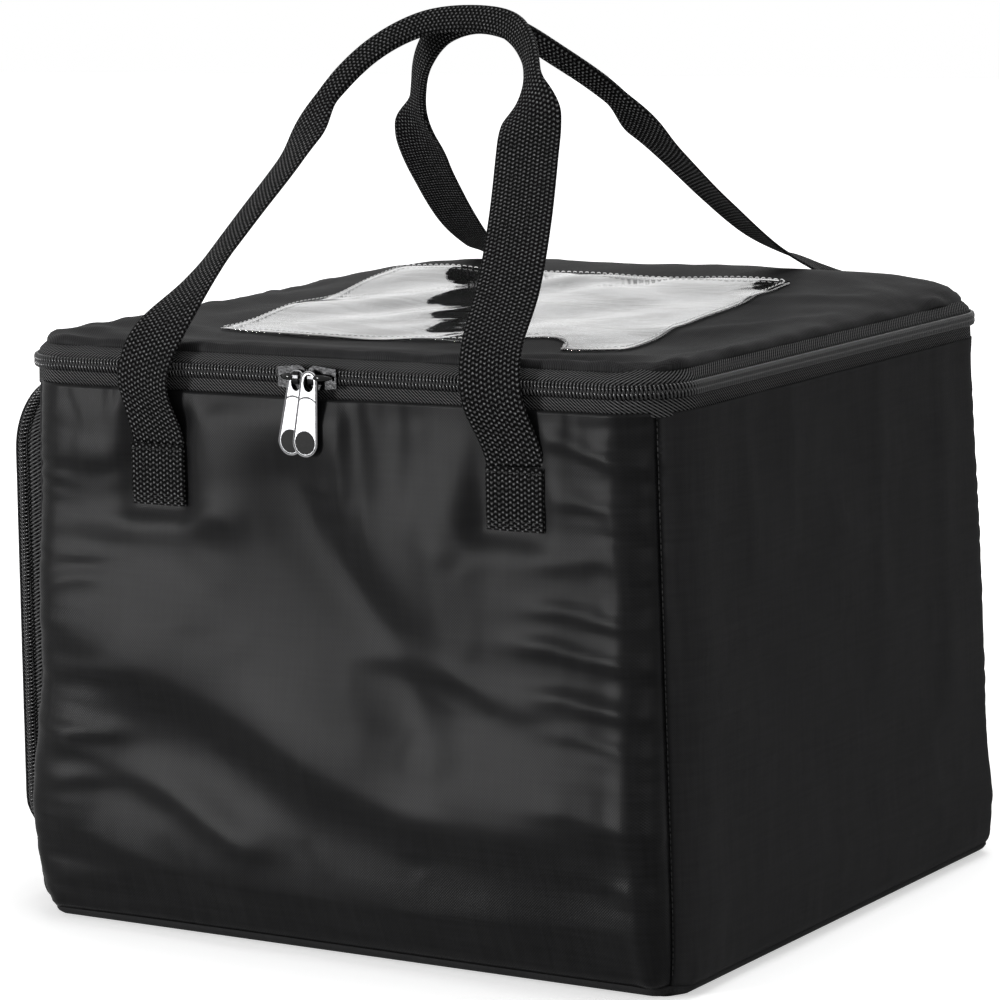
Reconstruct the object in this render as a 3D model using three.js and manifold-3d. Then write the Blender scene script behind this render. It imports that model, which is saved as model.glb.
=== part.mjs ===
// An insulated box bag: padded walls with a foil lining, a zipped lid with a clear window,
// a zipped door on the left side, two webbing handles and three zip sliders with pulls.
// Millimetres, +Z up, origin at the middle of the bottom, front face towards -Y.
import * as THREE from 'three';
import Module from 'manifold-3d';
import { mergeVertices } from 'three/addons/utils/BufferGeometryUtils.js';

// Body
const bodyWidth = 350;
const bodyDepth = 315;
const zipLevel = 267;
const topCornerRadius = 27;
const bottomCornerRadius = 17;
const bottomFlare = 4.5;
const bottomEdgeRadius = 10;
const bottomSeamHeight = 5;

// Layers of the padded walls
const clearance = 0.3;
const fabric = 1.2;
const wallFoam = 4;
const lining = 0.8;
const boardThickness = 3;
const boardMargin = 14;

// Zips: tape, coil and the space between the two halves that the slider's neck runs in
const tapeThickness = 1.2;
const tapeProud = 0.8;
const tapeWidth = 11;
const coilWidth = 3.5;
const coilThickness = 2.6;
const coilGap = 1.2;
const coilSeat = 0.3;

// Lid
const lidTapeRise = 4.6;
const lidSlopeRun = 6;
const lidSlopeRise = 4.9;
const lidDomeHeight = 5;
const lidTiltHeight = 14;
const lidFoam = 4;
const lidFoamMargin = 4;
const zipEndAngle = 45;

// Window on the lid
const windowSideMargin = 62;
const windowWidth = bodyWidth - 2 * windowSideMargin;
const windowDepth = 160;
const windowBackMargin = 81.5;
const windowBack = bodyDepth / 2 - windowBackMargin;
const windowRadius = 14;
const windowThickness = 0.5;
const notchCentre = 62;
const notchRadius = 17;

// Door in the left side
const doorMargin = 21.5;
const doorHalfDepth = bodyDepth / 2 - doorMargin;
const doorBottom = 20;
const doorBelowZip = 16;
const doorTop = zipLevel - doorBelowZip;
const doorTopRadius = 30;
const doorBottomRadius = 34;
const doorStandTop = 9.5;
const doorStandBottom = 5.8;
const doorCoilWidth = 2.8;
const doorFoam = 2.6;
const doorLining = 0.6;
const doorFabricOut = 5.8;
const doorInset = 2.6;
const openingMargin = 5;

// Webbing handles
const webWidth = 30;
const webThickness = 1.6;
const gripWidth = 11;
const gripThickness = 5;
const gripFoldLength = 30;
const gripHalfLength = 74;
const strapTwist = 33;
const footShift = 4.5;
const strapRimRise = 30;
const faceUp = 0.5;
const twistStart = 26;
const twistRise = 88;
const patchMargin = 78;
const patchCentre = bodyWidth / 2 - patchMargin;
const patchBelowZip = 35;
const patchTop = zipLevel - patchBelowZip;
const patchLength = 28;
const patchBottom = patchTop - patchLength;

// Sliders and pulls
const sliderLength = 15;
const sliderPlate = 1.2;
const sliderHalfWidth = 5.5;
const sliderInnerHalfWidth = 4.2;
const doorSliderHalfWidth = 4;
const doorSliderInnerHalfWidth = 3.6;
const neckLength = 6;
const neckThickness = 0.6;
const hoodWidth = 3;
const hoodHalfLength = 2.2;
const hoodHeight = 2.6;
const hoodThickness = 0.9;
const pullThickness = 1;
const pullLength = 40;
const pullEyeRadius = 2.8;
const pullTopRadius = 4;
const pullTipRadius = 6;
const doorPullTipRadius = 4.4;
const pullBar = 1.2;
const leftPullLean = 14;
const rightPullLean = 6;
const hoodOffset = 4.2;
const ridgeReach = 6;
const leftHood = -9.8;
const rightHood = -1.5;
const doorSliderRise = 46;
const doorSliderHeight = doorBottom + doorSliderRise;
const plateNoseShare = 0.45;
const plateTailShare = 0.8;

const root = new THREE.Group();
const wasm = await Module();
wasm.setup();

const finishes = {
  nylon: { color: 0x17171a, roughness: 0.5, metalness: 0 },
  webbing: { color: 0x121213, roughness: 0.75, metalness: 0 },
  tape: { color: 0x141415, roughness: 0.8, metalness: 0 },
  coil: { color: 0x0c0c0d, roughness: 0.3, metalness: 0 },
  foam: { color: 0xe8e6e0, roughness: 0.9, metalness: 0 },
  foil: { color: 0xc4c7ca, roughness: 0.25, metalness: 0.9 },
  film: { color: 0xd9dcde, roughness: 0.08, metalness: 0 },
  board: { color: 0x6d6254, roughness: 0.9, metalness: 0 },
  steel: { color: 0xc9c9cb, roughness: 0.3, metalness: 1 },
  blackMetal: { color: 0x101011, roughness: 0.35, metalness: 0.6 },
};

function add(name, geometry, finish, parent = root) {
  const mesh = new THREE.Mesh(geometry, new THREE.MeshStandardMaterial(finishes[finish]));
  mesh.name = name;
  parent.add(mesh);
  return mesh;
}

const lerp = THREE.MathUtils.lerp;
const radians = THREE.MathUtils.degToRad;

// Triangles wound so that the solid's volume is positive, which puts its faces outwards.
function solidFrom(positions, triangles) {
  let volume = 0;
  const a = new THREE.Vector3();
  const b = new THREE.Vector3();
  const c = new THREE.Vector3();
  for (const [i, j, k] of triangles) {
    a.fromArray(positions[i]);
    b.fromArray(positions[j]);
    c.fromArray(positions[k]);
    volume += a.dot(b.cross(c));
  }
  const wound = volume > 0 ? triangles : triangles.map(([i, j, k]) => [i, k, j]);
  const geometry = new THREE.BufferGeometry();
  geometry.setAttribute('position', new THREE.Float32BufferAttribute(positions.flat(), 3));
  geometry.setIndex(wound.flat());
  return geometry;
}

function signedArea(contour) {
  return THREE.ShapeUtils.area(contour);
}

// A profile of [a, b] points swept along stations; place(station, a, b) gives each point's place.
function sweep(stations, profile, place) {
  const positions = stations.flatMap((station) => profile.map(([a, b]) => place(station, a, b)));
  const triangles = [];
  const n = profile.length;
  for (let i = 0; i + 1 < stations.length; i += 1) {
    for (let j = 0; j < n; j += 1) {
      const k = (j + 1) % n;
      const [a, b, c, d] = [i * n + j, i * n + k, (i + 1) * n + k, (i + 1) * n + j];
      triangles.push([a, b, c], [a, c, d]);
    }
  }
  const contour = profile.map(([a, b]) => new THREE.Vector2(a, b));
  const turn = Math.sign(signedArea(contour));
  const last = (stations.length - 1) * n;
  for (const [i, j, k] of THREE.ShapeUtils.triangulateShape(contour, [])) {
    const sameWay = Math.sign(signedArea([contour[i], contour[j], contour[k]])) === turn;
    const [p, q, r] = sameWay ? [i, j, k] : [i, k, j];
    triangles.push([p, r, q], [last + p, last + q, last + r]);
  }
  return solidFrom(positions, triangles);
}

// Rings of equal count joined one after the other, with a fan over the first and the last. From
// the row turnFrom on, each quad is split along its other diagonal.
function loft(rings, turnFrom = rings.length) {
  const n = rings[0].length;
  const positions = rings.flat();
  const triangles = [];
  for (let i = 0; i + 1 < rings.length; i += 1) {
    for (let j = 0; j < n; j += 1) {
      const k = (j + 1) % n;
      const [a, b, c, d] = [i * n + j, i * n + k, (i + 1) * n + k, (i + 1) * n + j];
      if (i < turnFrom) triangles.push([a, b, c], [a, c, d]);
      else triangles.push([a, b, d], [b, c, d]);
    }
  }
  const ends = [[0, true], [(rings.length - 1) * n, false]];
  for (const [start, first] of ends) {
    const ring = positions.slice(start, start + n);
    const centre = [0, 1, 2].map((axis) => ring.reduce((sum, p) => sum + p[axis], 0) / n);
    const hub = positions.push(centre) - 1;
    for (let j = 0; j < n; j += 1) {
      const k = (j + 1) % n;
      triangles.push(first ? [hub, start + k, start + j] : [hub, start + j, start + k]);
    }
  }
  return solidFrom(positions, triangles);
}

function toManifold(geometry) {
  const bare = geometry.clone();
  bare.deleteAttribute('normal');
  bare.deleteAttribute('uv');
  const merged = mergeVertices(bare, 1e-4);
  return new wasm.Manifold(new wasm.Mesh({
    numProp: 3,
    vertProperties: new Float32Array(merged.attributes.position.array),
    triVerts: new Uint32Array(merged.index.array),
  }));
}

function fromManifold(solid) {
  const mesh = solid.getMesh();
  const geometry = new THREE.BufferGeometry();
  geometry.setAttribute('position', new THREE.BufferAttribute(new Float32Array(mesh.vertProperties), 3));
  geometry.setIndex(new THREE.BufferAttribute(new Uint32Array(mesh.triVerts), 1));
  return geometry;
}

function cut(geometry, tool) {
  return fromManifold(toManifold(geometry).subtract(toManifold(tool)));
}

function join(...geometries) {
  return fromManifold(geometries.map(toManifold).reduce((sum, next) => sum.add(next)));
}

// The body's plan: a rounded rectangle that flares a little and sharpens its corners downwards.
function halfWidth(z) {
  return bodyWidth / 2 + bottomFlare * (1 - z / zipLevel);
}

function halfDepth(z) {
  return bodyDepth / 2 + bottomFlare * (1 - z / zipLevel);
}

function cornerRadius(z) {
  return lerp(bottomCornerRadius, topCornerRadius, z / zipLevel);
}

// How far the wall curves in above the floor.
function edgeInset(z) {
  const drop = Math.max(0, bottomEdgeRadius - z);
  return bottomEdgeRadius - Math.sqrt(bottomEdgeRadius ** 2 - drop ** 2);
}

// A station is a share of the way to each corner centre and the direction that the wall faces.
function onPlan(station, inset, z) {
  const radius = cornerRadius(z);
  const reach = radius - inset - edgeInset(z);
  return [
    station.x * (halfWidth(z) - radius) + reach * Math.cos(station.angle),
    station.y * (halfDepth(z) - radius) + reach * Math.sin(station.angle),
    z,
  ];
}

const cornerSteps = 5;
const sideSteps = 4;

function corner(x, y, from, to) {
  return Array.from({ length: cornerSteps + 1 }, (_, i) => (
    { x, y, angle: radians(lerp(from, to, i / cornerSteps)) }));
}

function side(from, to, angle) {
  return Array.from({ length: sideSteps - 1 }, (_, i) => ({
    x: lerp(from[0], to[0], (i + 1) / sideSteps),
    y: lerp(from[1], to[1], (i + 1) / sideSteps),
    angle: radians(angle),
  }));
}

const leftSeamAngle = 225;
const frontLeft = [-1, -1];
const frontRight = [1, -1];
const backRight = [1, 1];
const backLeft = [-1, 1];
const wholePlan = [
  ...corner(...frontLeft, 180, 270),
  ...side(frontLeft, frontRight, 270),
  ...corner(...frontRight, 270, 360),
  ...side(frontRight, backRight, 360),
  ...corner(...backRight, 0, 90),
  ...side(backRight, backLeft, 90),
  ...corner(...backLeft, 90, 180),
  ...side(backLeft, frontLeft, 180),
];
const frontPlan = [
  ...corner(...frontLeft, leftSeamAngle, 270),
  ...side(frontLeft, frontRight, 270),
  ...corner(...frontRight, 270, 360),
];
const backPlan = [
  ...corner(...backRight, 0, 90),
  ...side(backRight, backLeft, 90),
  ...corner(...backLeft, 90, 360 - leftSeamAngle),
];
const leftPlan = [
  ...corner(...backLeft, 360 - leftSeamAngle, 180),
  ...side(backLeft, frontLeft, 180),
  ...corner(...frontLeft, 180, leftSeamAngle),
];
const zipPlan = [
  ...corner(...backLeft, 180 - zipEndAngle, 180),
  ...side(backLeft, frontLeft, 180),
  ...corner(...frontLeft, 180, 270),
  ...side(frontLeft, frontRight, 270),
  ...corner(...frontRight, 270, 360),
  ...side(frontRight, backRight, 360),
  ...corner(...backRight, 0, zipEndAngle),
];
const hingePlan = [
  ...corner(...backRight, zipEndAngle, 90),
  ...side(backRight, backLeft, 90),
  ...corner(...backLeft, 90, 180 - zipEndAngle),
];

// Shares of the straight side that leave the seam clearance beside the corner pieces.
function sideShare(halfLength) {
  return 1 - clearance / (halfLength - topCornerRadius);
}

function trimEnds(plan, reach) {
  const shift = clearance / 2 / reach;
  return plan.map((station, i) => {
    if (i === 0) return { ...station, angle: station.angle + shift };
    if (i === plan.length - 1) return { ...station, angle: station.angle - shift };
    return station;
  });
}

// A wall's section: rows up its outer face and back down its inner face.
function wallSection(inset, thickness, bottom, top) {
  const rows = [bottom, bottomEdgeRadius, top];
  const outer = rows.map((z) => [inset, z]);
  const inner = rows.map((z) => [inset + thickness, z]).reverse();
  return [...outer, ...inner];
}

const panelTop = zipLevel - tapeWidth - clearance;
const panelSection = wallSection(0, fabric, bottomSeamHeight + clearance, panelTop);
add('front_panel', sweep(trimEnds(frontPlan, topCornerRadius), panelSection, onPlan), 'nylon');
add('back_panel', sweep(trimEnds(backPlan, topCornerRadius), panelSection, onPlan), 'nylon');
const shareY = sideShare(bodyDepth / 2);
const rightPlan = [-shareY, 0, shareY].map((y) => ({ x: 1, y, angle: 0 }));
add('right_panel', sweep(rightPlan, panelSection, onPlan), 'nylon');

// Bottom panel: a shallow dish whose rim meets the walls at a seam above the floor.
function planRing(inset, z) {
  return wholePlan.map((station) => onPlan(station, inset, z));
}

const rimMiddle = 1.5;
add('bottom_panel', loft([
  planRing(0, 0),
  planRing(0, rimMiddle),
  planRing(0, bottomSeamHeight),
  planRing(fabric, bottomSeamHeight),
  planRing(fabric, rimMiddle + fabric / 2),
  planRing(fabric, fabric),
]), 'nylon');
const boardBottom = fabric + clearance;
add('bottom_board', loft([
  planRing(boardMargin, boardBottom),
  planRing(boardMargin, boardBottom + boardThickness),
]), 'board');

// Foam slabs stand between the outer fabric and the lining, one for each wall.
const foamInset = fabric + clearance;
const foamBottom = boardBottom + boardThickness + bottomSeamHeight;
const foamDrop = 7;
const foamTop = zipLevel - foamDrop;
const foamWrapAngle = 35;
const foamSection = wallSection(foamInset, wallFoam, foamBottom, foamTop);
const foamShareX = 1 - wallFoam / (bodyWidth / 2 - topCornerRadius);
const foamShareY = 1 - wallFoam / (bodyDepth / 2 - topCornerRadius);
const foamPlans = {
  front_foam: [-foamShareX, 0, foamShareX].map((x) => ({ x, y: -1, angle: radians(270) })),
  back_foam: [foamShareX, 0, -foamShareX].map((x) => ({ x, y: 1, angle: radians(90) })),
  right_foam: [-foamShareY, 0, foamShareY].map((y) => ({ x: 1, y, angle: 0 })),
};
for (const [name, plan] of Object.entries(foamPlans)) {
  add(name, sweep(plan, foamSection, onPlan), 'foam');
}

// The door's outline in the left side: up the front, over the top and down the back.
function doorOutline(inset) {
  const half = doorHalfDepth - inset;
  const low = doorBottom + inset;
  const high = doorTop - inset;
  const lowRadius = doorBottomRadius - inset;
  const highRadius = doorTopRadius - inset;
  const arc = (y, z, radius, from, to) => Array.from({ length: cornerSteps + 1 }, (_, i) => {
    const angle = radians(lerp(from, to, i / cornerSteps));
    const normal = [Math.cos(angle), Math.sin(angle)];
    return { y: y + radius * normal[0], z: z + radius * normal[1], normal };
  });
  return [
    ...arc(-half + lowRadius, low + lowRadius, lowRadius, 270, 180),
    ...arc(-half + highRadius, high - highRadius, highRadius, 180, 90),
    ...arc(half - highRadius, high - highRadius, highRadius, 90, 0),
    ...arc(half - lowRadius, low + lowRadius, lowRadius, 0, -90),
  ];
}

// How far the door zip's centre line stands out from the left side.
function doorStand(z) {
  return lerp(doorStandBottom, doorStandTop, (z - doorBottom) / (doorTop - doorBottom));
}

function leftFace(z) {
  return -halfWidth(z);
}

const openingOutline = doorOutline(openingMargin);
const openingDepth = [fabric + wallFoam + lining + topCornerRadius, -doorStandTop];
const openingTool = loft(openingDepth.map((depth) => (
  openingOutline.map(({ y, z }) => [-bodyWidth / 2 + depth, y, z]))));
const leftPanel = sweep(trimEnds(leftPlan, topCornerRadius), panelSection, onPlan);
add('left_frame', cut(leftPanel, openingTool), 'nylon');
const leftFoamPlan = [
  ...corner(...backLeft, 180 - foamWrapAngle, 180),
  ...side(backLeft, frontLeft, 180),
  ...corner(...frontLeft, 180, 180 + foamWrapAngle),
];
add('left_foam', cut(sweep(leftFoamPlan, foamSection, onPlan), openingTool), 'foam');

// Foil lining: an open box inside the foam, with the door's opening in its left wall.
const liningInset = foamInset + wallFoam + clearance;
const liningFloor = boardBottom + boardThickness + clearance;
const liningStep = 6;
const liningCurve = boardMargin - liningInset;
const liningBox = loft([
  planRing(liningInset + liningCurve, liningFloor),
  planRing(liningInset, liningFloor + liningStep),
  planRing(liningInset, foamTop),
  planRing(liningInset + lining, foamTop),
  planRing(liningInset + lining, liningFloor + liningStep),
  planRing(liningInset + liningCurve, liningFloor + lining),
]);
add('inner_lining', cut(liningBox, openingTool), 'foil');

// Lid zip, lower half: the tape ring above the panels and the coil on its outer face.
const tapeOut = -tapeProud;
const tapeIn = tapeThickness - tapeProud;
const coilIn = tapeOut - coilSeat;
const coilOut = coilIn - coilThickness;
const halfGap = coilGap / 2;
const chamfer = 0.7;

function band(outer, inner, low, high) {
  return [[outer, low], [outer, high], [inner, high], [inner, low]];
}

function coilBand(outer, inner, low, high) {
  return [
    [outer + chamfer, low],
    [outer, low + chamfer],
    [outer, high - chamfer],
    [outer + chamfer, high],
    [inner, high],
    [inner, low],
  ];
}

const bodyTape = band(tapeOut, tapeIn, zipLevel - tapeWidth, zipLevel - halfGap);
add('body_zip_tape', sweep(trimEnds(zipPlan, topCornerRadius), bodyTape, onPlan), 'tape');
const bodyCoil = coilBand(coilOut, coilIn, zipLevel - halfGap - coilWidth, zipLevel - halfGap);
add('body_zip_coil', sweep(zipPlan, bodyCoil, onPlan), 'coil');
add('body_hinge_band', sweep(trimEnds(hingePlan, topCornerRadius), bodyTape, onPlan), 'nylon');

// The lid and all that opens with it.
const lidGroup = new THREE.Group();
root.add(lidGroup);
const slopeStart = zipLevel + lidTapeRise;
const slopeEnd = slopeStart + lidSlopeRise;
const lidTape = [
  [tapeOut, zipLevel + halfGap],
  [tapeOut, slopeStart],
  [lidSlopeRun, slopeEnd],
  [lidSlopeRun, slopeEnd - tapeThickness],
  [tapeIn, slopeStart - tapeThickness / 2],
  [tapeIn, zipLevel + halfGap],
];

// Above the zip the plan stays that of the zip's level.
function onLidPlan(station, inset, z) {
  const [x, y] = onPlan(station, inset, zipLevel);
  return [x, y, z];
}

add('lid_zip_tape', sweep(trimEnds(zipPlan, topCornerRadius), lidTape, onLidPlan), 'tape', lidGroup);
const lidCoil = coilBand(coilOut, coilIn, zipLevel + halfGap, zipLevel + halfGap + coilWidth);
add('lid_zip_coil', sweep(zipPlan, lidCoil, onLidPlan), 'coil', lidGroup);
add('lid_hinge_band', sweep(trimEnds(hingePlan, topCornerRadius), lidTape, onLidPlan), 'nylon', lidGroup);

// The foam and the lining under the lid's fabric end at this share of its half width.
const foamShare = 1 - lidFoamMargin / (bodyDepth / 2);

// The lid's top: level at its rim, domed towards the back and slack towards the front.
const lidInset = lidSlopeRun + clearance;
const lidOutline = wholePlan.map((station) => onPlan(station, lidInset, zipLevel));

function lidHeight(x, y) {
  const u = x / (bodyWidth / 2 - lidInset);
  const v = y / (bodyDepth / 2 - lidInset);
  const crown = Math.max(0, 1 - u ** 4) * Math.max(0, 1 - v ** 4);
  return slopeEnd + crown * (lidDomeHeight + lidTiltHeight * v);
}

const lidShares = [0.15, 0.35, 0.55, 0.72, 0.86, foamShare, 1];
const innerShares = lidShares.slice(0, -1);

// A sheet that follows the lid's top between two depths below it.
function lidSheet(shares, upper, lower) {
  const ring = (share, depth) => lidOutline.map(([px, py]) => {
    const [x, y] = [share * px, share * py];
    return [x, y, lidHeight(x, y) + depth];
  });
  const under = shares.map((share) => ring(share, lower));
  const over = shares.map((share) => ring(share, upper)).reverse();
  return loft([...under, ...over], shares.length);
}

add('lid_panel', lidSheet(lidShares, 0, -fabric), 'nylon', lidGroup);
const lidFoamTop = -fabric - clearance;
add('lid_foam', lidSheet(innerShares, lidFoamTop, lidFoamTop - lidFoam), 'foam', lidGroup);
const lidLiningTop = lidFoamTop - lidFoam - clearance;
add('lid_lining', lidSheet(innerShares, lidLiningTop, lidLiningTop - lining), 'foil', lidGroup);

// Window film: a rounded rectangle with a thumb notch in its front edge.
function windowShape() {
  const halfX = windowWidth / 2;
  const front = windowBack - windowDepth;
  const shape = new THREE.Shape();
  shape.moveTo(-halfX + windowRadius, front);
  shape.lineTo(notchCentre - notchRadius, front);
  shape.absarc(notchCentre, front, notchRadius, Math.PI, 0, true);
  shape.lineTo(halfX - windowRadius, front);
  shape.absarc(halfX - windowRadius, front + windowRadius, windowRadius, -Math.PI / 2, 0, false);
  shape.absarc(halfX - windowRadius, windowBack - windowRadius, windowRadius, 0, Math.PI / 2, false);
  shape.absarc(-halfX + windowRadius, windowBack - windowRadius, windowRadius, Math.PI / 2, Math.PI, false);
  shape.absarc(-halfX + windowRadius, front + windowRadius, windowRadius, Math.PI, 1.5 * Math.PI, false);
  return shape;
}

const windowHeight = lidDomeHeight + lidTiltHeight + slopeEnd;
const windowColumn = new THREE.ExtrudeGeometry(windowShape(), {
  depth: windowHeight, bevelEnabled: false, curveSegments: 6 });
const filmSheet = lidSheet(lidShares, clearance + windowThickness, clearance);
add('window_film', fromManifold(toManifold(filmSheet).intersect(toManifold(windowColumn))), 'film', lidGroup);

// Door zip: the frame's tape stands out from the left side, with the coil on its outer face.
const doorPath = doorOutline(0);

function onFrameTape(station, inset, share) {
  const z = station.z - inset * station.normal[1];
  const reach = clearance + share * (doorStand(z) - halfGap - clearance);
  return [leftFace(z) - reach, station.y - inset * station.normal[0], z];
}

function onDoorPath(station, inset, out) {
  const z = station.z - inset * station.normal[1];
  return [leftFace(z) - doorStand(z) - out, station.y - inset * station.normal[0], z];
}

add('door_frame_tape', sweep(doorPath, band(tapeOut, tapeIn, 0, 1), onFrameTape), 'tape');
const frameCoil = coilBand(coilOut, coilIn, -halfGap - doorCoilWidth, -halfGap);
add('door_frame_coil', sweep(doorPath, frameCoil, onDoorPath), 'coil');

// The door: its zip half, and a slab of fabric, foam and lining that the zip runs round.
const doorGroup = new THREE.Group();
root.add(doorGroup);
const doorFabricIn = doorFabricOut - fabric;
const doorTape = band(tapeOut, tapeIn, halfGap, doorFabricIn - clearance);
add('door_zip_tape', sweep(doorPath, doorTape, onDoorPath), 'tape', doorGroup);
const doorCoil = coilBand(coilOut, coilIn, halfGap, halfGap + doorCoilWidth);
add('door_zip_coil', sweep(doorPath, doorCoil, onDoorPath), 'coil', doorGroup);

const doorShares = [1, 0.8, 0.5, 0.2];
const doorMiddle = (doorTop + doorBottom) / 2;

// A sheet of the door between two distances out from the zip's centre line.
function doorSheet(inset, inner, outer) {
  const outline = doorOutline(inset);
  const ring = (share, out) => outline.map(({ y, z }) => {
    const height = lerp(doorMiddle, z, share);
    return [leftFace(height) - doorStand(height) - out, share * y, height];
  });
  const inside = doorShares.map((share) => ring(share, inner)).reverse();
  const outside = doorShares.map((share) => ring(share, outer));
  return loft([...inside, ...outside]);
}

const doorFoamOut = doorFabricIn - clearance;
const doorFoamIn = doorFoamOut - doorFoam;
add('door_panel', doorSheet(tapeOut, doorFabricIn, doorFabricOut), 'nylon', doorGroup);
add('door_foam', doorSheet(doorInset, doorFoamIn, doorFoamOut), 'foam', doorGroup);
const doorLiningOut = doorFoamIn - clearance;
add('door_lining', doorSheet(doorInset, doorLiningOut - doorLining, doorLiningOut), 'foil', doorGroup);

// The fabric strip along the door's lower edge that it folds down on.
const hingeHalf = doorHalfDepth - doorBottomRadius - clearance;
const hingeTop = doorBottom - tapeProud - clearance;
const hingeEnds = [-hingeHalf, hingeHalf];
add('door_hinge_band', sweep(hingeEnds, [[0, hingeTop - fabric], [0, hingeTop], [1, hingeTop],
  [1, hingeTop - fabric]], (y, share, z) => (
  [leftFace(z) - clearance - share * (doorStandBottom - 2 * clearance), y, z])), 'nylon');

// Handles: a sewn patch of webbing at each foot and one strap from patch to patch.
const webSeat = clearance;
const webOut = webSeat + webThickness;

function wallFront(z) {
  return -halfDepth(z);
}

const sides = { left: -1, right: 1 };
for (const [faceName, face] of Object.entries({ front: 1, back: -1 })) {
  for (const [sideName, sign] of Object.entries(sides)) {
    const middle = sign * patchCentre + footShift;
    const edges = [middle - webWidth / 2, middle + webWidth / 2];
    const section = band(webOut, webSeat, patchBottom, patchTop);
    const place = (x, out, z) => [x, face * (wallFront(z) - out), z];
    add(`strap_patch_${faceName}_${sideName}`, sweep(edges, section, place), 'webbing');
  }
}

// Half of each strap's route, from the patch to the middle of the grip: the share of the patch's
// place along the side, the way back from the strap's foot, and the rise above it.
const strapFoot = patchTop + clearance;
const footOut = -wallFront(patchTop) + webSeat + webThickness / 2;
const frontRoute = [
  [1, 0, 0],
  [0.994, -3.4, 14.7],
  [0.977, -7.6, 30.7],
  [0.954, -5.4, 42.7],
  [0.926, 1.7, 53.6],
  [0.861, 25.8, 76.1],
  [0.77, 50.2, 101.4],
  [0.665, 73.8, 127.5],
  [0.573, 94.4, 153],
  [0.43, 112.7, 170.1],
  [0.243, 125.2, 180.5],
  [0, 128.2, 184],
];
const backRoute = [
  [1, 0, 0],
  [1.002, -3.6, 16.7],
  [0.998, -5.6, 34.7],
  [0.974, 5.4, 52.8],
  [0.938, 32.2, 61.2],
  [0.881, 62.2, 74.7],
  [0.804, 96.2, 98.2],
  [0.709, 127.7, 124.5],
  [0.556, 151.7, 151.3],
  [0.381, 170.7, 170.7],
  [0.206, 179.7, 183.7],
  [0, 181.2, 188.7],
];
const strapSteps = 64;
const up = new THREE.Vector3(0, 0, 1);

// The webbing is flat up to a fold on each leg, past which it is folded in half and sewn. Above
// the rim each leg turns its outer face a little to the side.
function handleStrap(route, faceOut) {
  const half = route.map(([share, back, rise]) => (
    [share * patchCentre, faceOut * (footOut - back), strapFoot + rise]));
  const mirrored = half.map(([x, y, z]) => [-x, y, z]);
  const points = [...mirrored, ...half.reverse().slice(1)].map((p) => new THREE.Vector3(...p));
  const curve = new THREE.CatmullRomCurve3(points, false, 'centripetal');
  const length = curve.getLength();
  const foldAt = length / 2 - gripHalfLength;
  const foldStart = foldAt - gripFoldLength / 2;
  const stations = Array.from({ length: strapSteps + 1 }, (_, i) => {
    const share = i / strapSteps;
    const distance = Math.min(share, 1 - share) * length;
    const fold = THREE.MathUtils.smoothstep(distance, foldStart, foldStart + gripFoldLength);
    const risen = THREE.MathUtils.smoothstep(distance, 0, strapRimRise);
    const side = Math.sign(share - 0.5);
    const turned = THREE.MathUtils.smoothstep(distance, twistStart, twistRise);
    const twist = radians(side * strapTwist * turned * (1 - fold));
    const outward = new THREE.Vector3(Math.sin(twist), faceOut * Math.cos(twist), faceUp);
    const along = i === 0 ? up.clone() : curve.getTangentAt(share);
    if (i === strapSteps) along.copy(up).negate();
    const across = new THREE.Vector3().crossVectors(along, outward).normalize();
    const normal = new THREE.Vector3().crossVectors(across, along);
    const width = lerp(webWidth, gripWidth, fold);
    const thickness = lerp(webThickness, gripThickness, fold);
    const at = curve.getPointAt(share);
    at.x += footShift * (1 - risen);
    return { at, across, normal, width, thickness };
  });
  const place = ({ at, across, normal, width, thickness }, a, b) => at.clone()
    .addScaledVector(across, a * width).addScaledVector(normal, b * thickness).toArray();
  return sweep(stations, [[-0.5, -0.5], [0.5, -0.5], [0.5, 0.5], [-0.5, 0.5]], place);
}

add('front_handle_strap', handleStrap(frontRoute, -1), 'webbing');
add('back_handle_strap', handleStrap(backRoute, 1), 'webbing');

function extrude(shape, depth, curveSegments = 4) {
  return new THREE.ExtrudeGeometry(shape, { depth, bevelEnabled: false, curveSegments });
}

// Slider, in its own frame: x along the chain, y out of the tape's face and z across the chain.
// Two plates hold the chain between them, a thin neck between the coils joins them, and a hood
// on the outer plate holds the pull.
function plate(halfLength, wide, low, high) {
  const shape = new THREE.Shape();
  const nose = halfLength * plateNoseShare;
  const blunt = wide * plateNoseShare;
  const narrow = wide * plateTailShare;
  shape.moveTo(-halfLength, -narrow);
  shape.lineTo(nose, -wide);
  shape.quadraticCurveTo(halfLength, -wide, halfLength, -blunt);
  shape.lineTo(halfLength, blunt);
  shape.quadraticCurveTo(halfLength, wide, nose, wide);
  shape.lineTo(-halfLength, narrow);
  const geometry = extrude(shape, high - low);
  geometry.rotateX(Math.PI / 2);
  geometry.translate(0, high, 0);
  return geometry;
}

function box(low, high) {
  const size = high.map((value, axis) => value - low[axis]);
  const geometry = new THREE.BoxGeometry(...size);
  geometry.translate(...low.map((value, axis) => value + size[axis] / 2));
  return geometry;
}

const outerPlateIn = -coilOut + clearance;
const outerPlateOut = outerPlateIn + sliderPlate;
const innerPlateOut = -tapeIn - clearance;
const innerPlateIn = innerPlateOut - sliderPlate;
const pullAxisOut = outerPlateOut + hoodHeight / 2;

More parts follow.
